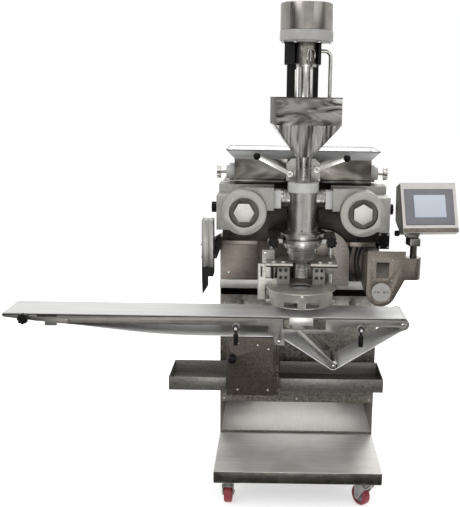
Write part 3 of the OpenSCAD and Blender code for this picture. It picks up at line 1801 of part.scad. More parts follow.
cable_y = front_y - rail_d / 2;
cable_low = rail_z + rail_h + gland_h;
cable_high = deck_z - sheet - gland_h;
function cable_point(i, t) = [
  cable_ends[i] - cable_bows[i] * sin(180 * t),
  cable_y - cable_bows[i] * sin(180 * t),
  cable_low + t * (cable_high - cable_low)
];

module cable(i) {
  r = cable_ds[i] / 2;
  points = [
    for (k = [0:cable_steps], a = [0:cable_sides - 1])
      cable_point(i, k / cable_steps)
      + [r * cos(a * 360 / cable_sides), r * sin(a * 360 / cable_sides), 0]
  ];
  sides = [
    for (k = [0:cable_steps - 1], a = [0:cable_sides - 1], half = [0, 1])
      let (
        b = (a + 1) % cable_sides,
        low = k * cable_sides,
        high = low + cable_sides
      )
      half == 0 ? [low + a, high + b, low + b] : [low + a, high + a, high + b]
  ];
  last = cable_steps * cable_sides;
  ends = [
    for (a = [1:cable_sides - 2], top = [0, 1])
      top == 0 ? [0, a, a + 1] : [last, last + a + 1, last + a]
  ];
  polyhedron(points, concat(sides, ends));
}

module cable_loom() color("black") {
  for (i = [0:len(cable_ends) - 1]) {
    cable(i);
    gland_d = cable_ds[i] + gland_rim;
    shaft_z(cable_ends[i], cable_y, gland_d, cable_low - gland_h, cable_low);
    shaft_z(cable_ends[i], cable_y, gland_d, cable_high, cable_high + gland_h);
  }
  junction_x = max(upper_half, half_w - wing_inset);
  block(junction_x, junction_x + junction_w, deck_front_y, deck_front_y + junction_d,
    duster_arm_z + duster_arm_h, deck_z - junction_low + junction_h);
}

// Drives inside the housings

module drive_units() color("slategray") {
  for (s = [0, 1])
    mirror([s, 0, 0]) {
      y0 = upper_y + motor_gap;
      difference() {
        union() {
          block(pump_x - motor_block / 2, pump_x + motor_block / 2, y0, y0 + motor_block_d, deck_z,
            pump_z + motor_block / 2);
          shaft_y(pump_x, pump_z, motor_body_d, y0 + motor_block_d, y0 + motor_block_d + motor_body_len);
        }
        shaft_y(pump_x, pump_z, shaft_d + bore_gap, y0 - overrun, y0 + motor_bore);
      }
    }
  shell(-control_half, control_half, back_y - control_back - control_d, back_y - control_back, floor_z,
    floor_z + control_h, sheet, false);
  mid_x = (box_left + box_right) / 2;
  block(mid_x - belt_motor_half, mid_x + belt_motor_half, front_y - belt_motor_d, front_y,
    box_z + belt_motor_up, box_z + belt_motor_up + belt_motor_h);
}

module star_knobs() color("black") {
  for (s = [0, 1])
    mirror([s, 0, 0]) {
      translate([yoke_knob_x, -yoke_front, flange_z - yoke_t / 2])
        rotate([90, 0, 0])
          star_knob();
      translate([pump_x + pump_side, pump_knob_y, pump_z])
        rotate([0, 90, 0])
          star_knob();
    }
  translate([nose_x + nose_knob_inset, -plate_out_y, nose_z + nose_r - nose_plate_h / 2])
    rotate([90, 0, 0])
      star_knob();
}

base_platform();
caster_mounts();
front_left_fork();
front_right_fork();
front_left_wheel();
front_right_wheel();
rear_wheels();
cabinet();
rear_door();
upper_housing();
shutter_gearcase();
gear_box();
gear_door();
left_tray();
right_tray();
support_bars();
conveyor_frame();
conveyor_belt();
tail_roller();
drive_roller();
takeup_roller();
left_lock_lever();
right_lock_lever();
lifter();
barrel_brackets();
center_barrel();
plastic_seals();
nozzle();
pump_housings();
pump_covers();
left_rotor();
right_rotor();
dough_hopper();
left_agitator();
right_agitator();
left_clamp_lever();
right_clamp_lever();
funnel_hopper();
filler_auger();
filler_column();
motor_ring();
motor_cover();
bent_pipe();
shutter_carriage();
shutter_blade_1();
shutter_blade_2();
shutter_blade_3();
shutter_blade_4();
shutter_blade_5();
shutter_blade_6();
duster_box();
duster_roller();
panel_post();
panel_housing();
touch_screen();
accessory_post();
post_bracket();
cable_loom();
drive_units();
star_knobs();
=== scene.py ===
import json
import math

import bmesh
import bpy
from mathutils import Matrix, Vector

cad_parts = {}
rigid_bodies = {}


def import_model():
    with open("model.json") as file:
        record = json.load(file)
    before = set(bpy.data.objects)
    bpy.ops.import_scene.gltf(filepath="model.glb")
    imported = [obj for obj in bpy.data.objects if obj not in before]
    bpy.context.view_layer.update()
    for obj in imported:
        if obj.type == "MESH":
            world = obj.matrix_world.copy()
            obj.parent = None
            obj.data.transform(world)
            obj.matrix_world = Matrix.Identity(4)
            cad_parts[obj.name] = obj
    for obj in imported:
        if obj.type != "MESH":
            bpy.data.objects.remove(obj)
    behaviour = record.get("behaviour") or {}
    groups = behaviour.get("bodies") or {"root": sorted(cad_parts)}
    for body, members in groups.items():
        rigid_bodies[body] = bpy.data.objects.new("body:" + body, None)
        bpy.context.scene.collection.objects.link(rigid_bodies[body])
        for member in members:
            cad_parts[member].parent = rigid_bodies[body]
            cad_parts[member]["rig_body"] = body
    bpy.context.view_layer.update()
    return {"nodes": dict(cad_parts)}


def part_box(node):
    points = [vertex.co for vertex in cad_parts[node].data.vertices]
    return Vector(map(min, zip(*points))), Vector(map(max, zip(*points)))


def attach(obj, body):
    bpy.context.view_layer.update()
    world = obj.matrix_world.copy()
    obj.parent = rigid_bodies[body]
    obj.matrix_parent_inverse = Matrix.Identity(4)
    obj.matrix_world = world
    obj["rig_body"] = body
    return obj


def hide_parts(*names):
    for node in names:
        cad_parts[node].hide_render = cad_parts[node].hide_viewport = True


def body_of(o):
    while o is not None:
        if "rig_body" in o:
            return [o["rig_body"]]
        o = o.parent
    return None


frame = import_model()


# Rolling platform: a folded pan of 3 mm stainless sheet with welded corners, belt-ground along its
# length. The cabinet stands on it, and its four caster pads are welded inside.

def linear(colour):
    """An sRGB hex colour as linear red, green, blue and alpha."""
    parts = [int(colour[i:i + 2], 16) / 255 for i in (1, 3, 5)]
    return tuple(c / 12.92 if c <= 0.04045 else ((c + 0.055) / 1.055) ** 2.4 for c in parts) + (1.0,)


def add(tree, kind, inputs=(), **settings):
    """Add one node; an input is a plain value, or a (node, output) pair to link from."""
    made = tree.nodes.new(kind)
    for name, value in settings.items():
        setattr(made, name, value)
    for name, value in dict(inputs).items():
        if isinstance(value, tuple) and isinstance(value[0], bpy.types.Node):
            tree.links.new(value[0].outputs[value[1]], made.inputs[name])
        else:
            made.inputs[name].default_value = value
    return made


def bare_tree(name):
    """A new material with an empty node tree."""
    material = bpy.data.materials.new(name)
    material.use_nodes = True
    material.node_tree.nodes.clear()
    return material, material.node_tree


def ground_steel(name, pale, dark, grain, blotch, rough, contrast=0.5, metallic=1.0):
    """Ground metal: fine parallel lines, with handling marks that dull it in clouds.

    grain is the line frequency along X, Y and Z per metre, blotch the width of a mark in mm, contrast
    the share of the marks. Real lines lie 0.2 mm apart; they are drawn 4 mm apart, the finest that the
    render can show. A sheet scratched matt all over scatters some of the light evenly, so it is given
    less than full metal.
    """
    material, tree = bare_tree(name)
    place = add(tree, "ShaderNodeTexCoord")
    stretch = add(tree, "ShaderNodeMapping", {"Vector": (place, "Object"), "Scale": grain})
    lines = add(tree, "ShaderNodeTexNoise",
                {"Vector": (stretch, "Vector"), "Scale": 1.0, "Detail": 4.0, "Roughness": 0.7})
    marks = add(tree, "ShaderNodeTexNoise",
                {"Vector": (place, "Object"), "Scale": 1000 / blotch, "Detail": 6.0, "Roughness": 0.62,
                 "Distortion": 0.5})
    both = add(tree, "ShaderNodeMix", {0: contrast, 2: (lines, 0), 3: (marks, 0)})
    spread_out = add(tree, "ShaderNodeMapRange",
                     {"Value": (both, 0), "From Min": 0.36, "From Max": 0.64})
    colour = add(tree, "ShaderNodeMix", {0: (spread_out, 0), 6: linear(dark), 7: linear(pale)},
                 data_type="RGBA")
    dull = add(tree, "ShaderNodeMapRange", {"Value": (marks, 0), "From Min": 0.3, "From Max": 0.7,
                                            "To Min": rough - 0.07, "To Max": rough + 0.07})
    bump = add(tree, "ShaderNodeBump", {"Height": (lines, 0), "Strength": 0.12, "Distance": 0.0006})
    metal = add(tree, "ShaderNodeBsdfPrincipled",
                {"Base Color": (colour, 2), "Metallic": metallic, "Roughness": (dull, 0),
                 "Normal": (bump, 0)})
    add(tree, "ShaderNodeOutputMaterial", {"Surface": (metal, "BSDF")})
    return material


WELD = 0.00001
FLAT = math.radians(0.4)
SHARP = math.radians(30)


def finished(node, material, edge=0.8, segments=2, cuts=()):
    """A copy of a CAD node in its real finish, with its edges broken by edge mm.

    Corners within WELD metres become one, and so do faces that meet at less than FLAT; edges that meet
    at more than SHARP are broken. cuts are the planes, as an axis and a place on it in mm, where the
    finish changes within a face.
    """
    bpy.ops.object.select_all(action="DESELECT")
    source = frame["nodes"][node]
    piece = bpy.data.objects.new(node + "_made", source.data.copy())
    bpy.context.scene.collection.objects.link(piece)
    bpy.context.view_layer.objects.active = piece
    piece.select_set(True)
    bpy.ops.mesh.customdata_custom_splitnormals_clear()
    bpy.ops.object.mode_set(mode="EDIT")
    bpy.ops.mesh.select_all(action="SELECT")
    bpy.ops.mesh.remove_doubles(threshold=WELD)
    bpy.ops.mesh.dissolve_limited(angle_limit=FLAT)
    for axis, at in cuts:
        across = Vector([float(axis == i) for i in range(3)])
        bpy.ops.mesh.select_all(action="SELECT")
        bpy.ops.mesh.bisect(plane_co=across * at / 1000, plane_no=across)
    bpy.ops.object.mode_set(mode="OBJECT")
    if edge:
        broken = piece.modifiers.new("broken edges", "BEVEL")
        broken.width = edge / 1000
        broken.segments = segments
        broken.limit_method = "ANGLE"
        broken.angle_limit = SHARP
        bpy.ops.object.modifier_apply(modifier=broken.name)
    bpy.ops.object.shade_smooth_by_angle(angle=SHARP)
    piece.data.materials.clear()
    piece.data.materials.append(material)
    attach(piece, body_of(source)[0])
    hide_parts(node)
    return piece


def paint(piece, material, where):
    """Give another finish to the faces all of whose corners where(corner in mm, face normal) takes."""
    mesh = piece.data
    mesh.materials.append(material)
    for face in mesh.polygons:
        if all(where(mesh.vertices[i].co * 1000, face.normal) for i in face.vertices):
            face.material_index = len(mesh.materials) - 1


LENGTHWISE = (6.0, 250.0, 250.0)
DEPTHWISE = (250.0, 6.0, 250.0)
UPRIGHT = (250.0, 250.0, 6.0)
# The scratched deck shows a broad pale sheen with faint lines; its lip a sharper one, painted darker as
# shade.
deck_steel = ground_steel("stainless sheet, belt-ground and scratched", "#dddbd7", "#bebbb6", LENGTHWISE,
                          blotch=140, rough=0.5, metallic=0.55)
shaded_lip_steel = ground_steel("stainless sheet, ground, handled and painted darker", "#b5b1aa", "#918d86", LENGTHWISE,
                         blotch=25, rough=0.34)
platform = finished("base_platform", deck_steel, edge=2.2, segments=3)
# Painted shade: the upright faces of the folded lip are coloured darker than the deck.
paint(platform, shaded_lip_steel, lambda p, n: abs(n.z) < 0.3)


# Casters: zinc-plated pressed steel plates and forks on 75 mm wheels. The front pair swivels on
# king pins, the rear pair is fixed, and red polyurethane tyres are cast on grey nylon hubs.

def moulded(name, colour, worn, grit, rough, metallic=0.0, bump_depth=0.0002, shine=0.5):
    """A moulded, cast or painted surface: a fine grit of grit mm and paler scuffs on top of it."""
    material, tree = bare_tree(name)
    place = add(tree, "ShaderNodeTexCoord")
    grain = add(tree, "ShaderNodeTexNoise",
                {"Vector": (place, "Object"), "Scale": 1000 / grit, "Detail": 3.0, "Roughness": 0.6})
    scuffs = add(tree, "ShaderNodeTexNoise",
                 {"Vector": (place, "Object"), "Scale": 28.0, "Detail": 7.0, "Roughness": 0.68,
                  "Distortion": 0.4})
    both = add(tree, "ShaderNodeMix", {0: 0.6, 2: (grain, 0), 3: (scuffs, 0)})
    spread_out = add(tree, "ShaderNodeMapRange",
                     {"Value": (both, 0), "From Min": 0.38, "From Max": 0.66})
    tone = add(tree, "ShaderNodeMix", {0: (spread_out, 0), 6: linear(colour), 7: linear(worn)},
               data_type="RGBA")
    dull = add(tree, "ShaderNodeMapRange", {"Value": (scuffs, 0), "From Min": 0.3, "From Max": 0.7,
                                            "To Min": rough - 0.06, "To Max": rough + 0.06})
    bump = add(tree, "ShaderNodeBump", {"Height": (grain, 0), "Strength": 0.25, "Distance": bump_depth})
    body = add(tree, "ShaderNodeBsdfPrincipled",
               {"Base Color": (tone, 2), "Roughness": (dull, 0), "Normal": (bump, 0),
                "Metallic": metallic, "Specular IOR Level": shine})
    add(tree, "ShaderNodeOutputMaterial", {"Surface": (body, "BSDF")})
    return material


def from_axle(corner, hub, axle):
    """Distance of a corner from the axle's line, which runs through hub."""
    out = corner - hub
    return (out - axle * out.dot(axle)).length


# Zinc gives a soft grey metal sheen, the tyres a dull wine red, the hubs plain grey.
zinc_steel = moulded("steel, zinc-plated", "#8a8a88", "#a5a5a2", grit=3, rough=0.38, metallic=1.0)
red_tyre = moulded("polyurethane, cast red", "#7d1f2c", "#98333e", grit=5, rough=0.42)
grey_hub = moulded("nylon, moulded grey", "#6e6c6a", "#83817e", grit=4, rough=0.5)
finished("caster_mounts", zinc_steel, edge=0.8)
for side in ("left", "right"):
    finished("front_%s_fork" % side, zinc_steel, edge=0.9)
TYRE_ROOT = 25.0
AXLE_Z = 37.5
# King pin X and Y, trail behind it, and turn in degrees.
CASTERS = {"front_left_wheel": (-252.0, -25.0, 28.0, 0.0), "front_right_wheel": (252.0, -25.0, 28.0, 35.0),
           "rear_wheels": (252.0, 715.0, 0.0, 0.0)}
for wheel, (pin_x, pin_y, trail, turn) in CASTERS.items():
    made = finished(wheel, grey_hub, edge=1.0)
    angle = math.radians(turn)
    axle = Vector((math.cos(angle), math.sin(angle), 0.0))
    hub = Vector((pin_x - trail * math.sin(angle), pin_y + trail * math.cos(angle), AXLE_Z))
    paint(made, red_tyre, lambda p, n: from_axle(p, hub, axle) > TYRE_ROOT)


# Cabinet: folded and spot-welded 3 mm stainless sheet round the drives, with a hinged rear door and
# an upper housing of its own. Wiping has left the lower front speckled; its darker colour is painted shade.

def pick(where):
    """In edit mode, select the faces that where(centre in mm, normal) takes, and no others."""
    mesh = bmesh.from_edit_mesh(bpy.context.object.data)
    for face in mesh.faces:
        face.select = bool(where(face.calc_center_median() * 1000, face.normal))
    mesh.select_flush_mode()
    bmesh.update_edit_mesh(bpy.context.object.data)


def screw_head(name, radius, height, socket, material):
    """A screw head that stands on the origin and faces up: a broken rim and a sunk drive; in mm."""
    bpy.ops.object.select_all(action="DESELECT")
    bpy.ops.mesh.primitive_cylinder_add(vertices=24, radius=radius / 1000, depth=height / 1000,
                                        location=(0, 0, height / 2000))
    bpy.ops.object.transform_apply(location=True)
    bpy.ops.object.mode_set(mode="EDIT")
    bpy.ops.mesh.select_mode(type="FACE")
    pick(lambda centre, normal: normal.z > 0.9)
    bpy.ops.mesh.bevel(offset=0.22 * radius / 1000, segments=2, affect="EDGES")
    pick(lambda centre, normal: normal.z > 0.99 and centre.xy.length < 0.1)
    bpy.ops.mesh.inset(thickness=(0.78 * radius - socket) / 1000)
    bpy.ops.mesh.extrude_region_move(TRANSFORM_OT_translate={"value": (0, 0, -0.6 * height / 1000)})
    bpy.ops.object.mode_set(mode="OBJECT")
    bpy.ops.object.shade_smooth_by_angle(angle=math.radians(35))
    head = bpy.context.object
    head.name = name
    head.data.materials.append(material)
    return head


def spread(master, name, places, body):
    """Copies of a small piece, each with its own mesh, joined on a body; a place is a point in mm and
    the way the copy's top faces."""
    copies = []
    for spot, facing in places:
        copy = bpy.data.objects.new(name, master.data.copy())
        bpy.context.scene.collection.objects.link(copy)
        copy.matrix_world = (Matrix.Translation(Vector(spot) / 1000)
                             @ Vector(facing).to_track_quat("Z", "Y").to_matrix().to_4x4())
        copies.append(copy)
    bpy.ops.object.select_all(action="DESELECT")
    for copy in copies:
        copy.select_set(True)
    bpy.context.view_layer.objects.active = copies[0]
    bpy.ops.object.join()
    bpy.ops.object.transform_apply(location=True, rotation=True, scale=True)
    piece = bpy.context.object
    piece.name = name
    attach(piece, body)


FORWARD, BACKWARD, LEFTWARD = (0, -1, 0), (0, 1, 0), (-1, 0, 0)
UP, DOWN = (0, 0, 1), (0, 0, -1)
STREAKED = (30.0, 250.0, 90.0)
# The wiped front is speckled and painted dark as shade, the part above the rail brown and streaked,
# the foot space painted pale as light, the housing an even grey, and the oiled sheet nearly black;
# that sheet also serves as painted shade.
wiped_and_shaded_front_steel = ground_steel("stainless sheet, wiped and painted dark as shade", "#928e87", "#514e49", LENGTHWISE,
                           blotch=8, rough=0.36, contrast=0.8)
upper_steel = ground_steel("stainless sheet, ground and stained", "#9a9189", "#7b736c", STREAKED,
                           blotch=60, rough=0.42, contrast=0.6)
painted_light_toe_steel = ground_steel("stainless sheet, scratched and painted pale as light", "#d6d4cf", "#c4c1bb", DEPTHWISE,
                         blotch=90, rough=0.5, metallic=0.4)
house_steel = ground_steel("stainless sheet, ground", "#8f8a84", "#6d6862", LENGTHWISE,
                           blotch=120, rough=0.36)
# Nearly black oiled sheet; it is also laid on as painted shade on the housing front, under the belt edge and
# round the crosshead.
oiled_and_shade_steel = ground_steel("stainless sheet, near black: oiled and painted shade", "#4d4a46", "#35322f", LENGTHWISE,
                          blotch=25, rough=0.45, contrast=0.7)
# Phenolic is a matt black with hardly a highlight; a cold-headed screw glints.
black_phenolic = moulded("phenolic, moulded black", "#0b0b0c", "#181819", grit=2, rough=0.42, shine=0.12)
bright_screw = moulded("stainless, cold-headed", "#d2d0cc", "#bcbab6", grit=2, rough=0.28, metallic=1.0)
RAIL_TOP = 788.0
TOE_TOP = 176.0
# Painted shade: the front below the rail is coloured darker than the sides and the housing.
cabinet = finished("cabinet", wiped_and_shaded_front_steel, edge=0.9, cuts=((2, RAIL_TOP),))
paint(cabinet, upper_steel, lambda p, n: p.z > RAIL_TOP - 0.1)
paint(cabinet, house_steel, lambda p, n: n.y > -0.5)
# Painted light: the foot-space floor is given a pale colour that stands in for the light it shows.
paint(cabinet, painted_light_toe_steel, lambda p, n: p.z < TOE_TOP and n.z > 0.5)
DOOR_SKIN_Y = 810.5
LATCH_X = -250.0
door = finished("rear_door", house_steel, edge=0.9)
paint(door, black_phenolic, lambda p, n: p.y > DOOR_SKIN_Y and p.x < LATCH_X)
housing = finished("upper_housing", house_steel, edge=1.2)
# Painted shade: the housing's front faces, in shade behind the pumps and barrel, get the near-black sheet.
paint(housing, oiled_and_shade_steel, lambda p, n: n.y < -0.5)
pan_head = screw_head("pan head", 4.5, 2.6, 1.6, bright_screw)
FRONT_Y = 244.8
FRONT_SCREWS = ((-284, 306), (284, 306), (0, 306), (-284, 396), (284, 396), (284, 520), (284, 690),
                (-284, 690), (-268, 812), (-268, 925), (-176, 925))
spread(pan_head, "cabinet_front_screws", [((x, FRONT_Y, z), FORWARD) for x, z in FRONT_SCREWS], "frame")
DOOR_SCREW_Y = 809.2
spread(pan_head, "door_screws",
       [((x, DOOR_SCREW_Y, z), BACKWARD) for x in (-262, 262) for z in (200, 905)], "rear_door")


# Shutter gear case, front gear box with its hinged door, scrap trays and the bars that carry them:
# stainless sheet and bar, bolted to the cabinet front. The gear box is stained by oil and heat.

# Stains leave the box brown and mottled, scouring the trays grey; drawn bar is pale, the case dull.
gear_steel = ground_steel("stainless sheet, stained", "#5d554d", "#38322c", LENGTHWISE,
                          blotch=7, rough=0.42, contrast=0.8, metallic=0.5)
tray_steel = ground_steel("stainless sheet, scoured", "#8b8984", "#64625d", LENGTHWISE,
                          blotch=7, rough=0.4, contrast=0.75, metallic=0.7)
bar_steel = ground_steel("stainless bar, drawn", "#e2e0dc", "#c4c1bc", LENGTHWISE,
                         blotch=60, rough=0.36, metallic=0.65)
case_steel = ground_steel("stainless sheet, ground dull", "#b8b1aa", "#8f8881", UPRIGHT,
                          blotch=5, rough=0.45, contrast=0.7)
finished("shutter_gearcase", case_steel, edge=1.5)
finished("gear_box", gear_steel, edge=1.0)
GEAR_DOOR_SKIN_Y = 40.5
GEAR_KNOB_X = -200.0
gear_door = finished("gear_door", gear_steel, edge=1.0)
paint(gear_door, black_phenolic, lambda p, n: p.y < GEAR_DOOR_SKIN_Y and p.x < GEAR_KNOB_X)
GEAR_SCREW_Y = 41.1
GEAR_SCREWS = ((-222, 596), (-150, 590), (-112, 575), (-222, 420), (-112, 420))
spread(pan_head, "gear_door_screws", [((x, GEAR_SCREW_Y, z), FORWARD) for x, z in GEAR_SCREWS],
       "gear_door")
for side in ("left", "right"):
    finished("%s_tray" % side, tray_steel, edge=0.7)
finished("support_bars", bar_steel, edge=0.8)


# Belt conveyor: folded stainless side plates with a nose bar on the left, turned rollers, and an
# endless white polyurethane belt that dips round a take-up roller. Two levers lock it to its bars.

def belting(name, pale, streaked):
    """Polyurethane belt: calendered white, faintly streaked along its run where dough is wiped off."""
    material, tree = bare_tree(name)
    place = add(tree, "ShaderNodeTexCoord")
    run = add(tree, "ShaderNodeMapping", {"Vector": (place, "Object"), "Scale": (2.5, 45.0, 45.0)})
    streaks = add(tree, "ShaderNodeTexNoise", {"Vector": (run, "Vector"), "Scale": 1.0, "Detail": 5.0,
                                               "Roughness": 0.6})
    pores = add(tree, "ShaderNodeTexNoise", {"Vector": (place, "Object"), "Scale": 400.0, "Detail": 2.0})
    spread_out = add(tree, "ShaderNodeMapRange",
                     {"Value": (streaks, 0), "From Min": 0.35, "From Max": 0.7})
    tone = add(tree, "ShaderNodeMix", {0: (spread_out, 0), 6: linear(pale), 7: linear(streaked)},
               data_type="RGBA")
    dull = add(tree, "ShaderNodeMapRange", {"Value": (streaks, 0), "To Min": 0.32, "To Max": 0.52})
    bump = add(tree, "ShaderNodeBump", {"Height": (pores, 0), "Strength": 0.15, "Distance": 0.0002})
    body = add(tree, "ShaderNodeBsdfPrincipled", {"Base Color": (tone, 2), "Roughness": (dull, 0),
                                                  "Normal": (bump, 0)})
    add(tree, "ShaderNodeOutputMaterial", {"Surface": (body, "BSDF")})
    return material


# Turned steel is bright and smooth, the ground plate an even mid grey.
roller_steel = moulded("steel, turned bright", "#c2c0bc", "#a6a39f", grit=6, rough=0.26, metallic=1.0)
frame_steel = ground_steel("stainless plate, ground", "#979490", "#7a7772", LENGTHWISE,
                           blotch=40, rough=0.44, metallic=0.8)
PLATE_LINE = 727.5
PLATE_Y = -79.0
conveyor = finished("conveyor_frame", frame_steel, edge=0.8, cuts=((2, PLATE_LINE),))
# Painted shadow: a dark strip along the top of the front plate, under the belt's edge.
paint(conveyor, oiled_and_shade_steel, lambda p, n: p.z > PLATE_LINE - 0.1 and p.y < PLATE_Y and n.y < -0.3)
RETURN_TOP = 722.0
# The belt's face is a soft greyish white, and its lower runs are painted nearly pure white as light.
belt_face = belting("polyurethane belting, calendered white", "#d9d9d8", "#c7c7c5")
painted_light_belt = belting("polyurethane belting, lower runs painted pale as light", "#f4f4f3", "#e6e6e4")
belt = finished("conveyor_belt", belt_face, edge=0, cuts=((2, RETURN_TOP),))
# Painted light: the belt below RETURN_TOP is coloured paler than its top run.
paint(belt, painted_light_belt, lambda p, n: p.z < RETURN_TOP + 0.1)
for roller in ("tail_roller", "drive_roller", "takeup_roller"):
    finished(roller, roller_steel, edge=0.8)
GRIP_TOP = 674.0
# Black oxide keeps a faint metal shine on its edges.
black_oxide = moulded("steel, black-oxided", "#1b1b1c", "#333334", grit=3, rough=0.36, metallic=0.6)
for side in ("left", "right"):
    lever = finished("%s_lock_lever" % side, black_oxide, edge=1.5, segments=3)
    paint(lever, black_phenolic, lambda p, n: p.z < GRIP_TOP)
finished("lifter", bar_steel, edge=1.2)


# Forming head: cast aluminium pumps with bolted covers, a barrel between them and a nozzle under it,
# held by milled brackets. White acetal spacers and a collar seal the joints.

# Blasted castings are grey and grainy, their faced rims smoother, the milled hexagons pale and the
# cover recesses painted dark as shade. The barrel has long highlights, the nozzle rings; acetal is
# white and waxy.
cast_aluminium = moulded("aluminium, sand-cast and blasted", "#8a8984", "#a3a29d", grit=4, rough=0.5,
                         metallic=1.0, bump_depth=0.0005)
rim_aluminium = moulded("aluminium, faced and blasted", "#9b9993", "#aba9a3", grit=3, rough=0.52,
                        metallic=0.9)
turned_aluminium = ground_steel("aluminium, turned and polished", "#a3a19d", "#83817d", UPRIGHT,
                                blotch=45, rough=0.3, contrast=0.3)
hexagon_metal = moulded("aluminium, milled and blasted", "#c6c5c0", "#d2d1cd", grit=3, rough=0.55,
                        metallic=0.7)
oiled_and_shaded_metal = moulded("aluminium, bored, oiled and shaded dark", "#55524b", "#6f6c64", grit=6, rough=0.5, metallic=0.5)
white_acetal = moulded("acetal, turned white", "#c0c0be", "#aeaeab", grit=5, rough=0.42)
yoke_aluminium = ground_steel("aluminium plate, milled and tumbled", "#bdbbb6", "#93908b", LENGTHWISE,
                              blotch=30, rough=0.36, metallic=0.5)
TURNED = (4.0, 4.0, 120.0)
nozzle_aluminium = ground_steel("aluminium, turned in rings", "#d9d8d4", "#6d6b67", TURNED,
                                blotch=30, rough=0.3, contrast=0.15, metallic=0.8)
finished("barrel_brackets", yoke_aluminium, edge=1.2)
finished("center_barrel", turned_aluminium, edge=1.0)
finished("plastic_seals", white_acetal, edge=1.2)
finished("nozzle", nozzle_aluminium, edge=1.0)
finished("pump_housings", cast_aluminium, edge=2.0, segments=3)
covers = finished("pump_covers", rim_aluminium, edge=1.5)
PUMP_X, PUMP_Z = 197.0, 1090.0
RECESS_R, RECESS_Y = 50.0, -89.4
HEXAGON_R, HEXAGON_Y = 35.4, -84.0


def from_pump(corner):
    """Distance of a corner from the nearer pump axis."""
    return math.hypot(abs(corner.x) - PUMP_X, corner.z - PUMP_Z)


# Painted shade: the recess round each hexagon is coloured dark.
paint(covers, oiled_and_shaded_metal, lambda p, n: from_pump(p) < RECESS_R and p.y > RECESS_Y)
paint(covers, hexagon_metal, lambda p, n: from_pump(p) < HEXAGON_R and n.y < -0.2 and p.y < HEXAGON_Y)
for side in ("left", "right"):
    finished("%s_rotor" % side, roller_steel, edge=0)
set_screw = screw_head("set screw", 3.2, 1.4, 1.4, oiled_and_shaded_metal)
BARREL_R = 54.0
SET_SCREW_Z = 1026.0
spread(set_screw, "barrel_set_screws",
       [((BARREL_R * math.sin(a), -BARREL_R * math.cos(a), SET_SCREW_Z), (math.sin(a), -math.cos(a), 0))
        for a in map(math.radians, (-52, -4, 48))], "frame")


# Dough hopper: polished stainless sheet with a flared rim, on the pump inlets. Two agitators turn in
# acetal bearings with small handwheels, and two ball-ended levers clamp the funnel saddle.

def settle(name, material, body):
    """Finish the new piece at hand: transforms applied, shaded, dressed and on its body."""
    piece = bpy.context.object
    bpy.ops.object.transform_apply(location=True, rotation=True, scale=True)
    bpy.ops.object.shade_smooth_by_angle(angle=math.radians(35))
    piece.name = name
    piece.data.materials.clear()
    piece.data.materials.append(material)
    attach(piece, body)
    return piece


HEM_T, HEM_W, HEM_EDGE = 3.0, 4.0, 1.2


def hem(name, centre, size, top, turn):
    """The folded hem round a square mouth, HEM_W wide and HEM_T thick; in mm, turn in degrees."""
    bpy.ops.object.select_all(action="DESELECT")
    bpy.ops.mesh.primitive_plane_add(
        size=1.0, location=(centre.x / 1000, centre.y / 1000, (top - HEM_T / 2) / 1000),
        rotation=(0, 0, math.radians(turn)))
    bpy.context.object.scale = ((size.x + HEM_T) / 1000, (size.y + HEM_T) / 1000, 1.0)
    bpy.ops.object.transform_apply(location=True, rotation=True, scale=True)
    bpy.ops.object.mode_set(mode="EDIT")
    bpy.ops.mesh.select_mode(type="FACE")
    bpy.ops.mesh.select_all(action="SELECT")
    bpy.ops.mesh.inset(thickness=HEM_W / 1000)
    bpy.ops.mesh.delete(type="FACE")
    bpy.ops.mesh.select_all(action="SELECT")
    bpy.ops.mesh.extrude_region_move(TRANSFORM_OT_translate={"value": (0, 0, HEM_T / 1000)})
    bpy.ops.mesh.select_all(action="SELECT")
    bpy.ops.mesh.normals_make_consistent(inside=False)
    bpy.ops.mesh.bevel(offset=HEM_EDGE / 1000, segments=2, affect="EDGES")
    bpy.ops.object.mode_set(mode="OBJECT")
    settle(name, oiled_and_shade_steel, "frame")


def painted_reflection_steel(name, pale, dark, swirl, rough, wave=0.2, curl=0.8, metallic=1.0):
    """Stainless polished to a mirror: wavy sheet that breaks what it reflects into soft streaks, with
    pale and dark streaks of painted reflection mixed into its colour.

    swirl is the number of waves per metre along X, Y and Z, wave their depth, curl how far they wander.
    Wiping leaves fine scratches that scatter some light, so a wiped sheet is given less than full metal.
    """
    material, tree = bare_tree(name)
    place = add(tree, "ShaderNodeTexCoord")
    stretch = add(tree, "ShaderNodeMapping", {"Vector": (place, "Object"), "Scale": swirl})
    waves = add(tree, "ShaderNodeTexNoise", {"Vector": (stretch, "Vector"), "Scale": 1.0, "Detail": 2.5,
                                             "Roughness": 0.55, "Distortion": curl})
    spread_out = add(tree, "ShaderNodeMapRange",
                     {"Value": (waves, 0), "From Min": 0.38, "From Max": 0.62})
    colour = add(tree, "ShaderNodeMix", {0: (spread_out, 0), 6: linear(dark), 7: linear(pale)},
                 data_type="RGBA")
    dull = add(tree, "ShaderNodeMapRange", {"Value": (waves, 0), "To Min": rough, "To Max": rough + 0.1})
    bump = add(tree, "ShaderNodeBump", {"Height": (waves, 0), "Strength": wave, "Distance": 0.004})
    metal = add(tree, "ShaderNodeBsdfPrincipled",
                {"Base Color": (colour, 2), "Metallic": metallic, "Roughness": (dull, 0),
                 "Normal": (bump, 0)})
    add(tree, "ShaderNodeOutputMaterial", {"Surface": (metal, "BSDF")})
    return material


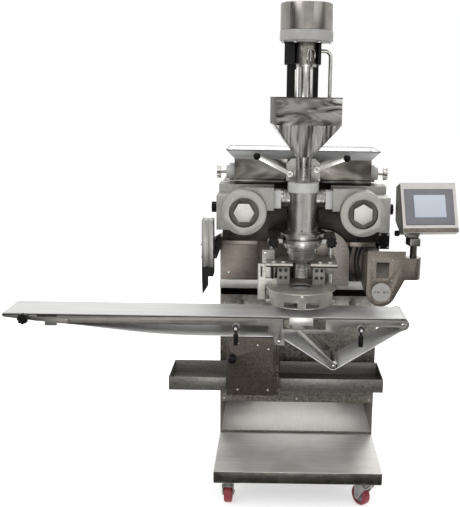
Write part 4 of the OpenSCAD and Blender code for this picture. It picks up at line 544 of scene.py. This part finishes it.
# The hopper's walls carry dark streaks of painted reflection; its rim and back wall a pale painted
# highlight.
hopper_steel = painted_reflection_steel("stainless sheet, polished", "#8d8882", "#4b4844", swirl=(7.0, 7.0, 14.0),
                            rough=0.18)
rim_highlight_steel = painted_reflection_steel("stainless sheet, polished, painted pale as highlight", "#d9dadb", "#b4b5b7",
                         swirl=(5.0, 9.0, 30.0), rough=0.34, metallic=0.45)
RIM_LINE = 1252.0
BACK_WALL_Y = 200.0
hopper = finished("dough_hopper", hopper_steel, edge=0.8)
# Painted highlight: the rim and the inner face of the back wall are coloured pale.
paint(hopper, rim_highlight_steel, lambda p, n: p.z > RIM_LINE or (p.y > BACK_WALL_Y and n.y < -0.5))
hopper_low, hopper_high = (Vector(corner) * 1000 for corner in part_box("dough_hopper"))
hem("hopper_hem", (hopper_low + hopper_high).xy / 2, (hopper_high - hopper_low).xy, hopper_high.z, 0.0)
for side in ("left", "right"):
    finished("%s_agitator" % side, roller_steel, edge=1.0)
BALL_R = 13.2
BALLS = {"left": (-158.7, 22.0, 1268.4), "right": (147.3, 22.0, 1265.9)}
for side, ball in BALLS.items():
    lever = finished("%s_clamp_lever" % side, roller_steel, edge=1.2)
    paint(lever, black_phenolic, lambda p, n: math.dist(p, ball) < BALL_R)


# Filler: a square funnel folded and welded from mirror-polished stainless, its auger and drive column,
# an acetal ring and a spun stainless motor cover, with a bent cleaning pipe at the side.

def tube(name, points, radius, material, body):
    """A bent round bar or cable through points, with closed ends; all in mm."""
    bpy.ops.object.select_all(action="DESELECT")
    path = bpy.data.curves.new(name, "CURVE")
    path.dimensions = "3D"
    path.bevel_depth = radius / 1000
    path.bevel_resolution = 5
    path.resolution_u = 8
    path.use_fill_caps = True
    run = path.splines.new("BEZIER")
    run.bezier_points.add(len(points) - 1)
    for knot, spot in zip(run.bezier_points, points):
        knot.co = Vector(spot) / 1000
        knot.handle_left_type = knot.handle_right_type = "AUTO"
    bent = bpy.data.objects.new(name, path)
    bpy.context.scene.collection.objects.link(bent)
    bpy.context.view_layer.objects.active = bent
    bent.select_set(True)
    bpy.ops.object.convert(target="MESH")
    return settle(name, material, body)


def block(name, low_corner, high_corner, edge, material, body):
    """A machined block between two corners in mm, its edges broken by edge mm."""
    bpy.ops.object.select_all(action="DESELECT")
    low_end, high_end = Vector(low_corner) / 1000, Vector(high_corner) / 1000
    bpy.ops.mesh.primitive_cube_add(size=1.0, location=(low_end + high_end) / 2, scale=high_end - low_end)
    bpy.ops.object.transform_apply(location=True, rotation=True, scale=True)
    bpy.ops.object.mode_set(mode="EDIT")
    bpy.ops.mesh.select_all(action="SELECT")
    bpy.ops.mesh.bevel(offset=edge / 1000, segments=2, affect="EDGES")
    bpy.ops.object.mode_set(mode="OBJECT")
    return settle(name, material, body)


# The cone is bright with dark upright streaks and the box dark and swirled, both painted reflection;
# its left side is painted darker as shade; the neck has one round sheen.
cone_steel = painted_reflection_steel("stainless sheet, mirror-polished", "#fbfaf8", "#5d5c59",
                          swirl=(62.0, 5.0, 5.0), rough=0.12, wave=1.0, curl=0.3, metallic=0.7)
shaded_cheek_steel = moulded("stainless sheet, polished, hazed and painted dark as shade", "#2f2d2a", "#75736f", grit=9, rough=0.5,
                      metallic=0.3, shine=0.1)
box_steel = painted_reflection_steel("stainless sheet, mirror-polished and buckled", "#918f8c", "#2f2e2c",
                         swirl=(11.0, 11.0, 34.0), rough=0.12, wave=0.3, curl=1.0)
neck_steel = ground_steel("stainless tube, polished round", "#c6c5c1", "#8f8e8a", UPRIGHT,
                          blotch=30, rough=0.28)
BOX_FOOT, NECK_TOP = 1377.0, 1274.0
FUNNEL_W, FUNNEL_TURN = 212.0, 6.0
funnel = finished("funnel_hopper", cone_steel, edge=0.7)
paint(funnel, box_steel, lambda p, n: p.z > BOX_FOOT and abs(n.z) < 0.3)
# Painted shade: the box's left side gets its own darker, duller colour.
paint(funnel, shaded_cheek_steel, lambda p, n: p.z > BOX_FOOT and n.x < -0.5)
paint(funnel, neck_steel, lambda p, n: p.z < NECK_TOP)
hem("funnel_hem", Vector((0, 0)), Vector((FUNNEL_W, FUNNEL_W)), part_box("funnel_hopper")[1][2] * 1000,
    FUNNEL_TURN)
finished("filler_auger", roller_steel, edge=0)
# Satin paint drinks the light; drawn tube has sharp upright highlights, the ground casting soft ones.
black_paint = moulded("steel, painted satin black", "#121213", "#1f1f20", grit=4, rough=0.5, shine=0.15)
tube_aluminium = ground_steel("aluminium tube, drawn", "#bab9b5", "#8e8d89", UPRIGHT,
                              blotch=40, rough=0.22)
case_aluminium = ground_steel("aluminium casting, ground upright", "#a39f99", "#69655f", UPRIGHT,
                              blotch=20, rough=0.34)
COLUMN_FOOT, TUBE_R, TUBE_TOP = 1459.5, 34.5, 1573.0
CASE_R, CASE_Y, CASE_FOOT = 40.6, -11.0, 1571.0
column = finished("filler_column", black_paint, edge=1.2)
paint(column, tube_aluminium,
      lambda p, n: p.z < COLUMN_FOOT or (p.xy.length < TUBE_R and p.z < TUBE_TOP))
paint(column, case_aluminium, lambda p, n: p.xy.length < CASE_R and p.y < CASE_Y and p.z > CASE_FOOT)
GUIDE_Y = (-29.0, -24.4)
GUIDE_Z = (1459.0, 1556.0)
for side, guide_x in (("left", (-36.0, -29.0)), ("right", (14.0, 21.0))):
    low_corner, high_corner = zip(guide_x, GUIDE_Y, GUIDE_Z)
    block("filler_guide_%s" % side, low_corner, high_corner, 1.0, bar_steel, "frame")
# The ring is a flat light grey; the spun cover carries fine upright lines; nickel is a warm mirror.
ring_acetal = moulded("acetal, turned and greyed", "#a9a8a6", "#9a9996", grit=6, rough=0.45)
cover_steel = ground_steel("stainless, spun and ground upright", "#a5a19c", "#7a7671", UPRIGHT,
                           blotch=60, rough=0.3, contrast=0.35)
hose_nickel = moulded("brass, nickel-plated", "#c4c2be", "#a9a7a2", grit=4, rough=0.24, metallic=1.0)
finished("motor_ring", ring_acetal, edge=2.0, segments=3)
finished("motor_cover", cover_steel, edge=2.0, segments=3)
finished("bent_pipe", roller_steel, edge=0)
LOOP_R, RISER_R = 3.2, 2.8
tube("filler_loop", [(2, -37, 1574), (2, -43, 1590), (3, -45, 1608), (9, -46, 1619), (19, -44, 1619),
                     (26, -38, 1608), (27, -33, 1592), (27, -25, 1578)], LOOP_R, hose_nickel, "frame")
tube("filler_riser", [(13, -36, 1573), (13, -41, 1584), (13, -42, 1602), (13, -42, 1617)], RISER_R,
     hose_nickel, "frame")
cap_head = screw_head("cap head", 5.0, 5.0, 2.4, bright_screw)
RING_SCREW_R, RING_UNDER_Z = 80.0, 1642.2
spread(cap_head, "ring_screws",
       [((RING_SCREW_R * math.cos(a), RING_SCREW_R * math.sin(a), RING_UNDER_Z), DOWN)
        for a in map(math.radians, (-162, -118, -62, -18, 60, 120))], "frame")


# Shutter: a round housing and cover on a crosshead that slides on two guide rods. Six white acetal
# blades inside it close on the nozzle axis to pinch off each piece.

# Scratches give the housing a pale even sheen, flour makes the crosshead matt, the legs stay darker,
# and a dark band under the crosshead is painted shade.
shutter_steel = ground_steel("stainless plate, fine-ground and scratched", "#cac7c0", "#a5a29a",
                             LENGTHWISE, blotch=40, rough=0.42, metallic=0.7)
leg_steel = ground_steel("stainless block, milled", "#83817c", "#5e5c57", UPRIGHT, blotch=12, rough=0.45)
crosshead_steel = ground_steel("stainless plate, milled and floury", "#d3cfc6", "#a6a299", LENGTHWISE,
                               blotch=14, rough=0.5, contrast=0.7, metallic=0.2)
CROSSHEAD_FOOT, CROSSHEAD_LINE, CROSSHEAD_TOP = 895.0, 901.5, 908.4
LEG_X, LEG_Y, LEG_Z = (36.0, 88.0), (22.0, 66.0), (821.0, 897.0)
carriage = finished("shutter_carriage", shutter_steel, edge=0.8,
                    cuts=((2, CROSSHEAD_LINE),))
paint(carriage, crosshead_steel, lambda p, n: p.z > CROSSHEAD_LINE - 0.1)
# Painted shade: a dark band round the crosshead's lower side faces.
paint(carriage, oiled_and_shade_steel, lambda p, n: CROSSHEAD_FOOT < p.z < CROSSHEAD_LINE + 0.1 and abs(n.z) < 0.5)
paint(carriage, black_oxide, lambda p, n: p.z > CROSSHEAD_TOP and p.y < 0)
paint(carriage, leg_steel, lambda p, n: (LEG_X[0] < abs(p.x) < LEG_X[1] and LEG_Y[0] < p.y < LEG_Y[1]
                                         and LEG_Z[0] < p.z < LEG_Z[1]))
for blade in range(1, 7):
    finished("shutter_blade_%d" % blade, white_acetal, edge=0.4)
black_cap = screw_head("black cap head", 5.5, 6.0, 2.6, black_oxide)
LEG_SCREW_Y = 26.2
spread(black_cap, "shutter_leg_screws",
       [((x, LEG_SCREW_Y, z), FORWARD) for x in (-72, -54, 54, 72) for z in (846, 872)],
       "shutter_carriage")
HANDLE_R = 5.0
tube("shutter_clamp_handle", [(-101, 47, 838), (-101, 38, 841), (-101, 36, 862), (-101, 36, 889)], HANDLE_R,
     black_phenolic, "shutter_carriage")
spread(cap_head, "shutter_clamp_nut", [((-101, 45.8, 838), FORWARD), ((-128, 45.8, 930), FORWARD)],
       "shutter_carriage")


# Flour duster and touch panel: a folded stainless box with a dusty window and an acetal feed roller,
# and a post that carries the tilting panel housing with its screen.

def dusty_pane():
    """Smoked acrylic with flour on it: dark and glossy above, greyed and dull towards its foot."""
    material, tree = bare_tree("acrylic, smoked and floury")
    place = add(tree, "ShaderNodeTexCoord")
    height = add(tree, "ShaderNodeSeparateXYZ", {"Vector": (place, "Object")})
    flour = add(tree, "ShaderNodeTexNoise", {"Vector": (place, "Object"), "Scale": 120.0, "Detail": 6.0,
                                             "Roughness": 0.7})
    fall = add(tree, "ShaderNodeMapRange", {"Value": (height, "Z"), "From Min": 0.935, "From Max": 0.868})
    cover = add(tree, "ShaderNodeMath", {0: (fall, 0), 1: (flour, 0)}, operation="MULTIPLY")
    tone = add(tree, "ShaderNodeMix", {0: (cover, 0), 6: linear("#161412"), 7: linear("#867f76")},
               data_type="RGBA")
    dull = add(tree, "ShaderNodeMapRange", {"Value": (cover, 0), "To Min": 0.3, "To Max": 0.7})
    body = add(tree, "ShaderNodeBsdfPrincipled", {"Base Color": (tone, 2), "Roughness": (dull, 0),
                                                  "Specular IOR Level": 0.2})
    add(tree, "ShaderNodeOutputMaterial", {"Surface": (body, "BSDF")})
    return material


def lit_display():
    """Display film behind clear polyester: pale blue-grey, a little darker towards its lower edge."""
    material, tree = bare_tree("display film, pale")
    place = add(tree, "ShaderNodeTexCoord")
    height = add(tree, "ShaderNodeSeparateXYZ", {"Vector": (place, "Object")})
    film = add(tree, "ShaderNodeTexNoise", {"Vector": (place, "Object"), "Scale": 14.0, "Detail": 2.0})
    fall = add(tree, "ShaderNodeMapRange", {"Value": (height, "Z"), "From Min": 1.06, "From Max": 1.16})
    both = add(tree, "ShaderNodeMix", {0: 0.3, 2: (fall, 0), 3: (film, 0)})
    tone = add(tree, "ShaderNodeMix", {0: (both, 0), 6: linear("#aab2be"), 7: linear("#c2c9d3")},
               data_type="RGBA")
    body = add(tree, "ShaderNodeBsdfPrincipled", {"Base Color": (tone, 2), "Roughness": 0.3})
    add(tree, "ShaderNodeOutputMaterial", {"Surface": (body, "BSDF")})
    return material


# The box is brownish and mottled by hands and flour, and its feed roller is a dusty grey.
duster_steel = ground_steel("stainless sheet, folded and ground", "#7b746b", "#59534c", LENGTHWISE,
                            blotch=8, rough=0.42, contrast=0.7, metallic=0.8)
grey_acetal = moulded("acetal, turned and floury", "#918f8b", "#9f9d99", grit=6, rough=0.5)
PANE_X, PANE_Y, PANE_Z = (240.0, 300.0), (-77.6, -74.4), (865.0, 937.0)
duster = finished("duster_box", duster_steel, edge=0.8)
paint(duster, dusty_pane(), lambda p, n: (PANE_X[0] < p.x < PANE_X[1] and PANE_Y[0] < p.y < PANE_Y[1]
                                          and PANE_Z[0] < p.z < PANE_Z[1]))
finished("duster_roller", grey_acetal, edge=0.8)
dull_screw = screw_head("dull pan head", 3.2, 2.2, 1.2, zinc_steel)
DUSTER_SCREW_Y, DISC_SCREW_Y = -79.8, -82.8
spread(dull_screw, "duster_screws",
       [((x, DUSTER_SCREW_Y, z), FORWARD) for x in (238, 303) for z in (866, 936)], "frame")
spread(set_screw, "duster_disc_screws", [((x, DISC_SCREW_Y, 825), FORWARD) for x in (258, 278)],
       "duster_roller")
# The oiled post is dark with a thin highlight, the coated panel front pale and smooth, the bezel a
# flat blue-grey plastic.
post_steel = ground_steel("steel tube, turned and oiled", "#8c8a85", "#5a5752", UPRIGHT,
                          blotch=20, rough=0.34)
panel_paint = moulded("steel, powder-coated pale", "#cbc7c2", "#bfbab5", grit=2, rough=0.38)
bezel_plastic = moulded("ABS, moulded grey", "#6a6a70", "#78787e", grit=1.5, rough=0.4)
finished("panel_post", post_steel, edge=1.2)
KNOB_X, KNOB_Y, KNOB_Z = 328.0, -39.7, 1021.0
KNOB_DEPTH, KNOB_R = 13.0, 11.0
panel = finished("panel_housing", frame_steel, edge=1.6, segments=3)
paint(panel, panel_paint, lambda p, n: n.y < -0.6)
paint(panel, black_phenolic,
      lambda p, n: p.x < KNOB_X and abs(p.y - KNOB_Y) < KNOB_DEPTH and abs(p.z - KNOB_Z) < KNOB_R)
finished("touch_screen", bezel_plastic, edge=1.0)
# Where the panel stands: turned about its post, then tilted about its pivot.
POST = Vector((375.0, -54.0, 0.0)) / 1000
PIVOT = Vector((0.0, -32.0, 1021.0)) / 1000
PANEL_TURN, PANEL_TILT = math.radians(8), math.radians(-22)
panel_place = (Matrix.Translation(POST) @ Matrix.Rotation(PANEL_TURN, 4, "Z") @ Matrix.Translation(-POST)
               @ Matrix.Translation(PIVOT) @ Matrix.Rotation(PANEL_TILT, 4, "X"))
FILM_MIDDLE, FILM_SIZE = Vector((416.5, -79.0, 74.5)) / 1000, Vector((108.0, 1.2, 76.0)) / 1000
FILM_RIM, FILM_SINK = 0.002, 0.0004
bpy.ops.object.select_all(action="DESELECT")
bpy.ops.mesh.primitive_cube_add(size=1.0, location=FILM_MIDDLE, scale=FILM_SIZE)
bpy.ops.object.transform_apply(location=True, rotation=True, scale=True)
bpy.ops.object.mode_set(mode="EDIT")
bpy.ops.mesh.select_mode(type="FACE")
pick(lambda centre, normal: normal.y < -0.9)
bpy.ops.mesh.inset(thickness=FILM_RIM)
bpy.ops.mesh.extrude_region_move(TRANSFORM_OT_translate={"value": (0, FILM_SINK, 0)})
bpy.ops.object.mode_set(mode="OBJECT")
bpy.context.object.matrix_world = panel_place
settle("panel_display", lit_display(), "panel")
sill = block("panel_sill", (321, -78.8, -14), (509, -77.4, 0), 0.4, duster_steel, "panel")
sill.data.transform(panel_place)


# Accessory post: a length of anodised aluminium T-slot profile on a black painted bracket with a
# pointed stop below, bolted to the left side of the cabinet.

# Anodising gives an even satin grey with no sharp reflection.
anodised = ground_steel("aluminium extrusion, anodised", "#a3a29e", "#8d8c88", UPRIGHT,
                        blotch=80, rough=0.42)
finished("accessory_post", anodised, edge=0.4)
finished("post_bracket", black_paint, edge=1.2)
BRACKET_SCREW_X = -348.2
spread(cap_head, "bracket_screws",
       [((BRACKET_SCREW_X, y, z), LEFTWARD) for y in (35, 65) for z in (915, 960)], "frame")


# Cables: three rubber-sheathed cables hang in a bow between glands on the cross rail and the cabinet
# deck, and a painted junction box stands on the duster arm beside them.

# Extruded rubber is a dusty black without a highlight, the nylon glands a shade lighter.
cable_rubber = moulded("rubber, extruded black", "#131314", "#242425", grit=2, rough=0.55)
gland_nylon = moulded("nylon, moulded dark grey", "#2c2c2e", "#3d3d3f", grit=2, rough=0.45)
# Place along X, diameter and bow of each.
CABLES = ((198.0, 16.0, 20.0), (221.0, 9.0, 14.0), (240.0, 9.0, 22.0))
CABLE_Y, CABLE_LOW, CABLE_HIGH = 235.0, 800.0, 935.0
CABLE_STEPS = 24
GLAND_H, GLAND_RIM, GLAND_NECK, GLAND_STEP, GLAND_EDGE = 12.0, 4.0, 4.0, 0.8, 0.7
for number, (cable_x, thick, bow) in enumerate(CABLES, 1):
    hang = []
    for step in range(CABLE_STEPS + 1):
        swing = bow * math.sin(math.pi * step / CABLE_STEPS)
        hang.append((cable_x - swing, CABLE_Y - swing,
                     CABLE_LOW + (CABLE_HIGH - CABLE_LOW) * step / CABLE_STEPS))
    cable = tube("cable_%d" % number, hang, thick / 2, cable_rubber, "frame")
    bpy.ops.object.select_all(action="DESELECT")
    bpy.ops.mesh.primitive_cylinder_add(vertices=6, radius=(thick + GLAND_RIM) / 2000,
                                        depth=GLAND_H / 1000, location=(0, 0, GLAND_H / 2000))
    bpy.ops.object.transform_apply(location=True)
    bpy.ops.object.mode_set(mode="EDIT")
    bpy.ops.mesh.select_mode(type="FACE")
    pick(lambda centre, normal: normal.z > 0.9)
    bpy.ops.transform.translate(value=(0, 0, -GLAND_NECK / 1000))
    bpy.ops.mesh.inset(thickness=GLAND_STEP / 1000)
    bpy.ops.mesh.extrude_region_move(TRANSFORM_OT_translate={"value": (0, 0, GLAND_NECK / 1000)})
    bpy.ops.mesh.bevel(offset=GLAND_EDGE / 1000, segments=2, affect="EDGES")
    bpy.ops.object.mode_set(mode="OBJECT")
    gland = bpy.context.object
    gland.data.materials.append(gland_nylon)
    spread(gland, "cable_%d_glands" % number,
           [((cable_x, CABLE_Y, CABLE_LOW - GLAND_H), UP), ((cable_x, CABLE_Y, CABLE_HIGH + GLAND_H), DOWN)],
           "frame")
    bpy.data.objects.remove(gland)
junction = block("junction_box", (285, 175, 923), (327, 230, 984), 2.5, black_paint, "frame")
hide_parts("cable_loom")
JUNCTION_SCREW_Y = 175.2
spread(pan_head, "junction_screws",
       [((x, JUNCTION_SCREW_Y, z), FORWARD) for x in (291, 321) for z in (930, 977)], "frame")


# Drives and knobs: painted gearmotors and a control box inside the housings, and black phenolic star
# knobs that clamp the barrel yoke, the pumps and the conveyor nose.

# The control box front is a smooth off-white, a painted light that brightens the dark cabinet.
painted_light_enamel = moulded("steel, enamelled, painted pale as light", "#e0ded9", "#d2d0cb", grit=6, rough=0.5)
BOX_TOP, BOX_FRONT_Y = 600.0, 520.0
drives = finished("drive_units", black_paint, edge=1.5)
# Painted light: the lower back of the drives is coloured pale so the foot-space floor mirrors a bright face.
paint(drives, painted_light_enamel, lambda p, n: p.z < BOX_TOP and p.y > BOX_FRONT_Y)
finished("star_knobs", black_phenolic, edge=1.0)
for master in (pan_head, set_screw, cap_head, black_cap, dull_screw):
    bpy.data.objects.remove(master)


# Studio: a plain pale floor, soft light from large lamps, and the camera at the angle of the view
# that the object is matched to. Dark flags beside the set give the polished metal its edges.

def flat_stage(name, corners, material, camera_sees):
    """A stage plane through four corners, in metres."""
    mesh = bpy.data.meshes.new(name)
    mesh.from_pydata(corners, [], [(0, 1, 2, 3)])
    plane = bpy.data.objects.new(name, mesh)
    bpy.context.scene.collection.objects.link(plane)
    mesh.materials.append(material)
    plane.visible_camera = camera_sees
    if not camera_sees:
        plane.visible_shadow = False
        plane.visible_diffuse = False


def looked_at(tree):
    """1 where the camera, polished metal or a pane looks at the studio, 0 where it only gives light."""
    ray = add(tree, "ShaderNodeLightPath")
    mirrored = add(tree, "ShaderNodeMath", {0: (ray, "Is Camera Ray"), 1: (ray, "Is Glossy Ray")},
                   operation="MAXIMUM")
    return add(tree, "ShaderNodeMath", {0: (mirrored, 0), 1: (ray, "Is Transmission Ray")},
               operation="MAXIMUM")


floor_paint, tree = bare_tree("studio floor, matt white")
glow = add(tree, "ShaderNodeMath", {0: (looked_at(tree), 0), 1: 0.56}, operation="MULTIPLY")
matt = add(tree, "ShaderNodeBsdfPrincipled",
           {"Base Color": linear("#f4f4f4"), "Roughness": 0.9, "Specular IOR Level": 0.0,
            "Emission Color": (1.0, 1.0, 1.0, 1.0), "Emission Strength": (glow, 0)})
add(tree, "ShaderNodeOutputMaterial", {"Surface": (matt, "BSDF")})
flat_stage("studio_floor", [(-30, -30, 0), (30, -30, 0), (30, 30, 0), (-30, 30, 0)], floor_paint, True)

flag_cloth, tree = bare_tree("studio flag, black cloth")
cloth = add(tree, "ShaderNodeBsdfDiffuse", {"Color": linear("#1c1c1c")})
add(tree, "ShaderNodeOutputMaterial", {"Surface": (cloth, "BSDF")})
FLAGS = {
    "flag_front": [(-3.5, -2.6, 0.02), (3.5, -2.6, 0.02), (3.5, -0.12, 0.02), (-3.5, -0.12, 0.02)],
    "flag_left": [(-3.2, -4, 0.3), (-3.2, -0.6, 0.3), (-3.2, -0.6, 3.2), (-3.2, -4, 3.2)],
    "flag_right": [(3.2, -4, 0.3), (3.2, -0.6, 0.3), (3.2, -0.6, 3.2), (3.2, -4, 3.2)],
}
for name, corners in FLAGS.items():
    flat_stage(name, corners, flag_cloth, False)

world = bpy.data.worlds.new("studio")
bpy.context.scene.world = world
world.use_nodes = True
tree = world.node_tree
tree.nodes.clear()
level = add(tree, "ShaderNodeMapRange", {"Value": (looked_at(tree), 0), "To Min": 0.5, "To Max": 1.0})
sky = add(tree, "ShaderNodeBackground", {"Color": (1.0, 1.0, 1.0, 1.0), "Strength": (level, 0)})
add(tree, "ShaderNodeOutputWorld", {"Surface": (sky, "Background")})

# Place, aim, width and depth in metres, and power in watts.
LAMPS = {
    "key": ((-2.2, -2.6, 3.4), (0.0, 0.0, 0.9), (2.2, 2.2), 48.0),
    "fill": ((2.6, -2.2, 2.4), (0.0, 0.0, 0.9), (2.4, 2.4), 22.0),
    "low": ((0.0, -2.5, 0.45), (0.0, 0.4, 0.25), (0.9, 0.9), 9.0),
    "foot space": ((0.0, 0.4, 0.288), (0.0, 0.4, 0.0), (0.52, 0.26), 0.36),
    "top": ((0.0, 0.6, 4.2), (0.0, 0.2, 0.8), (2.6, 2.6), 48.0),
    "back": ((0.6, 3.4, 2.6), (0.0, 0.4, 0.9), (2.4, 2.4), 40.0),
}
for name, (spot, aim, (wide, deep), power) in LAMPS.items():
    lamp = bpy.data.lights.new(name, "AREA")
    lamp.shape = "ELLIPSE"
    lamp.size = wide
    lamp.size_y = deep
    lamp.energy = power
    holder = bpy.data.objects.new(name, lamp)
    holder.location = spot
    holder.rotation_euler = (Vector(aim) - Vector(spot)).to_track_quat("-Z", "Y").to_euler()
    bpy.context.scene.collection.objects.link(holder)

CAMERA_SPOT = (-0.0875, -2.6012, 1.4671)
CAMERA_PITCH, CAMERA_ROLL = math.radians(78.48), 0.0151
lens = bpy.data.cameras.new("camera")
lens.lens = 54.57
lens.sensor_width = 36.0
lens.shift_x = -0.0917
lens.clip_end = 100.0
camera = bpy.data.objects.new("camera", lens)
camera.matrix_world = (Matrix.Translation(CAMERA_SPOT) @ Matrix.Rotation(CAMERA_PITCH, 4, "X")
                       @ Matrix.Rotation(CAMERA_ROLL, 4, "Z"))
bpy.context.scene.collection.objects.link(camera)
bpy.context.scene.camera = camera
bpy.context.scene.view_settings.view_transform = "Standard"
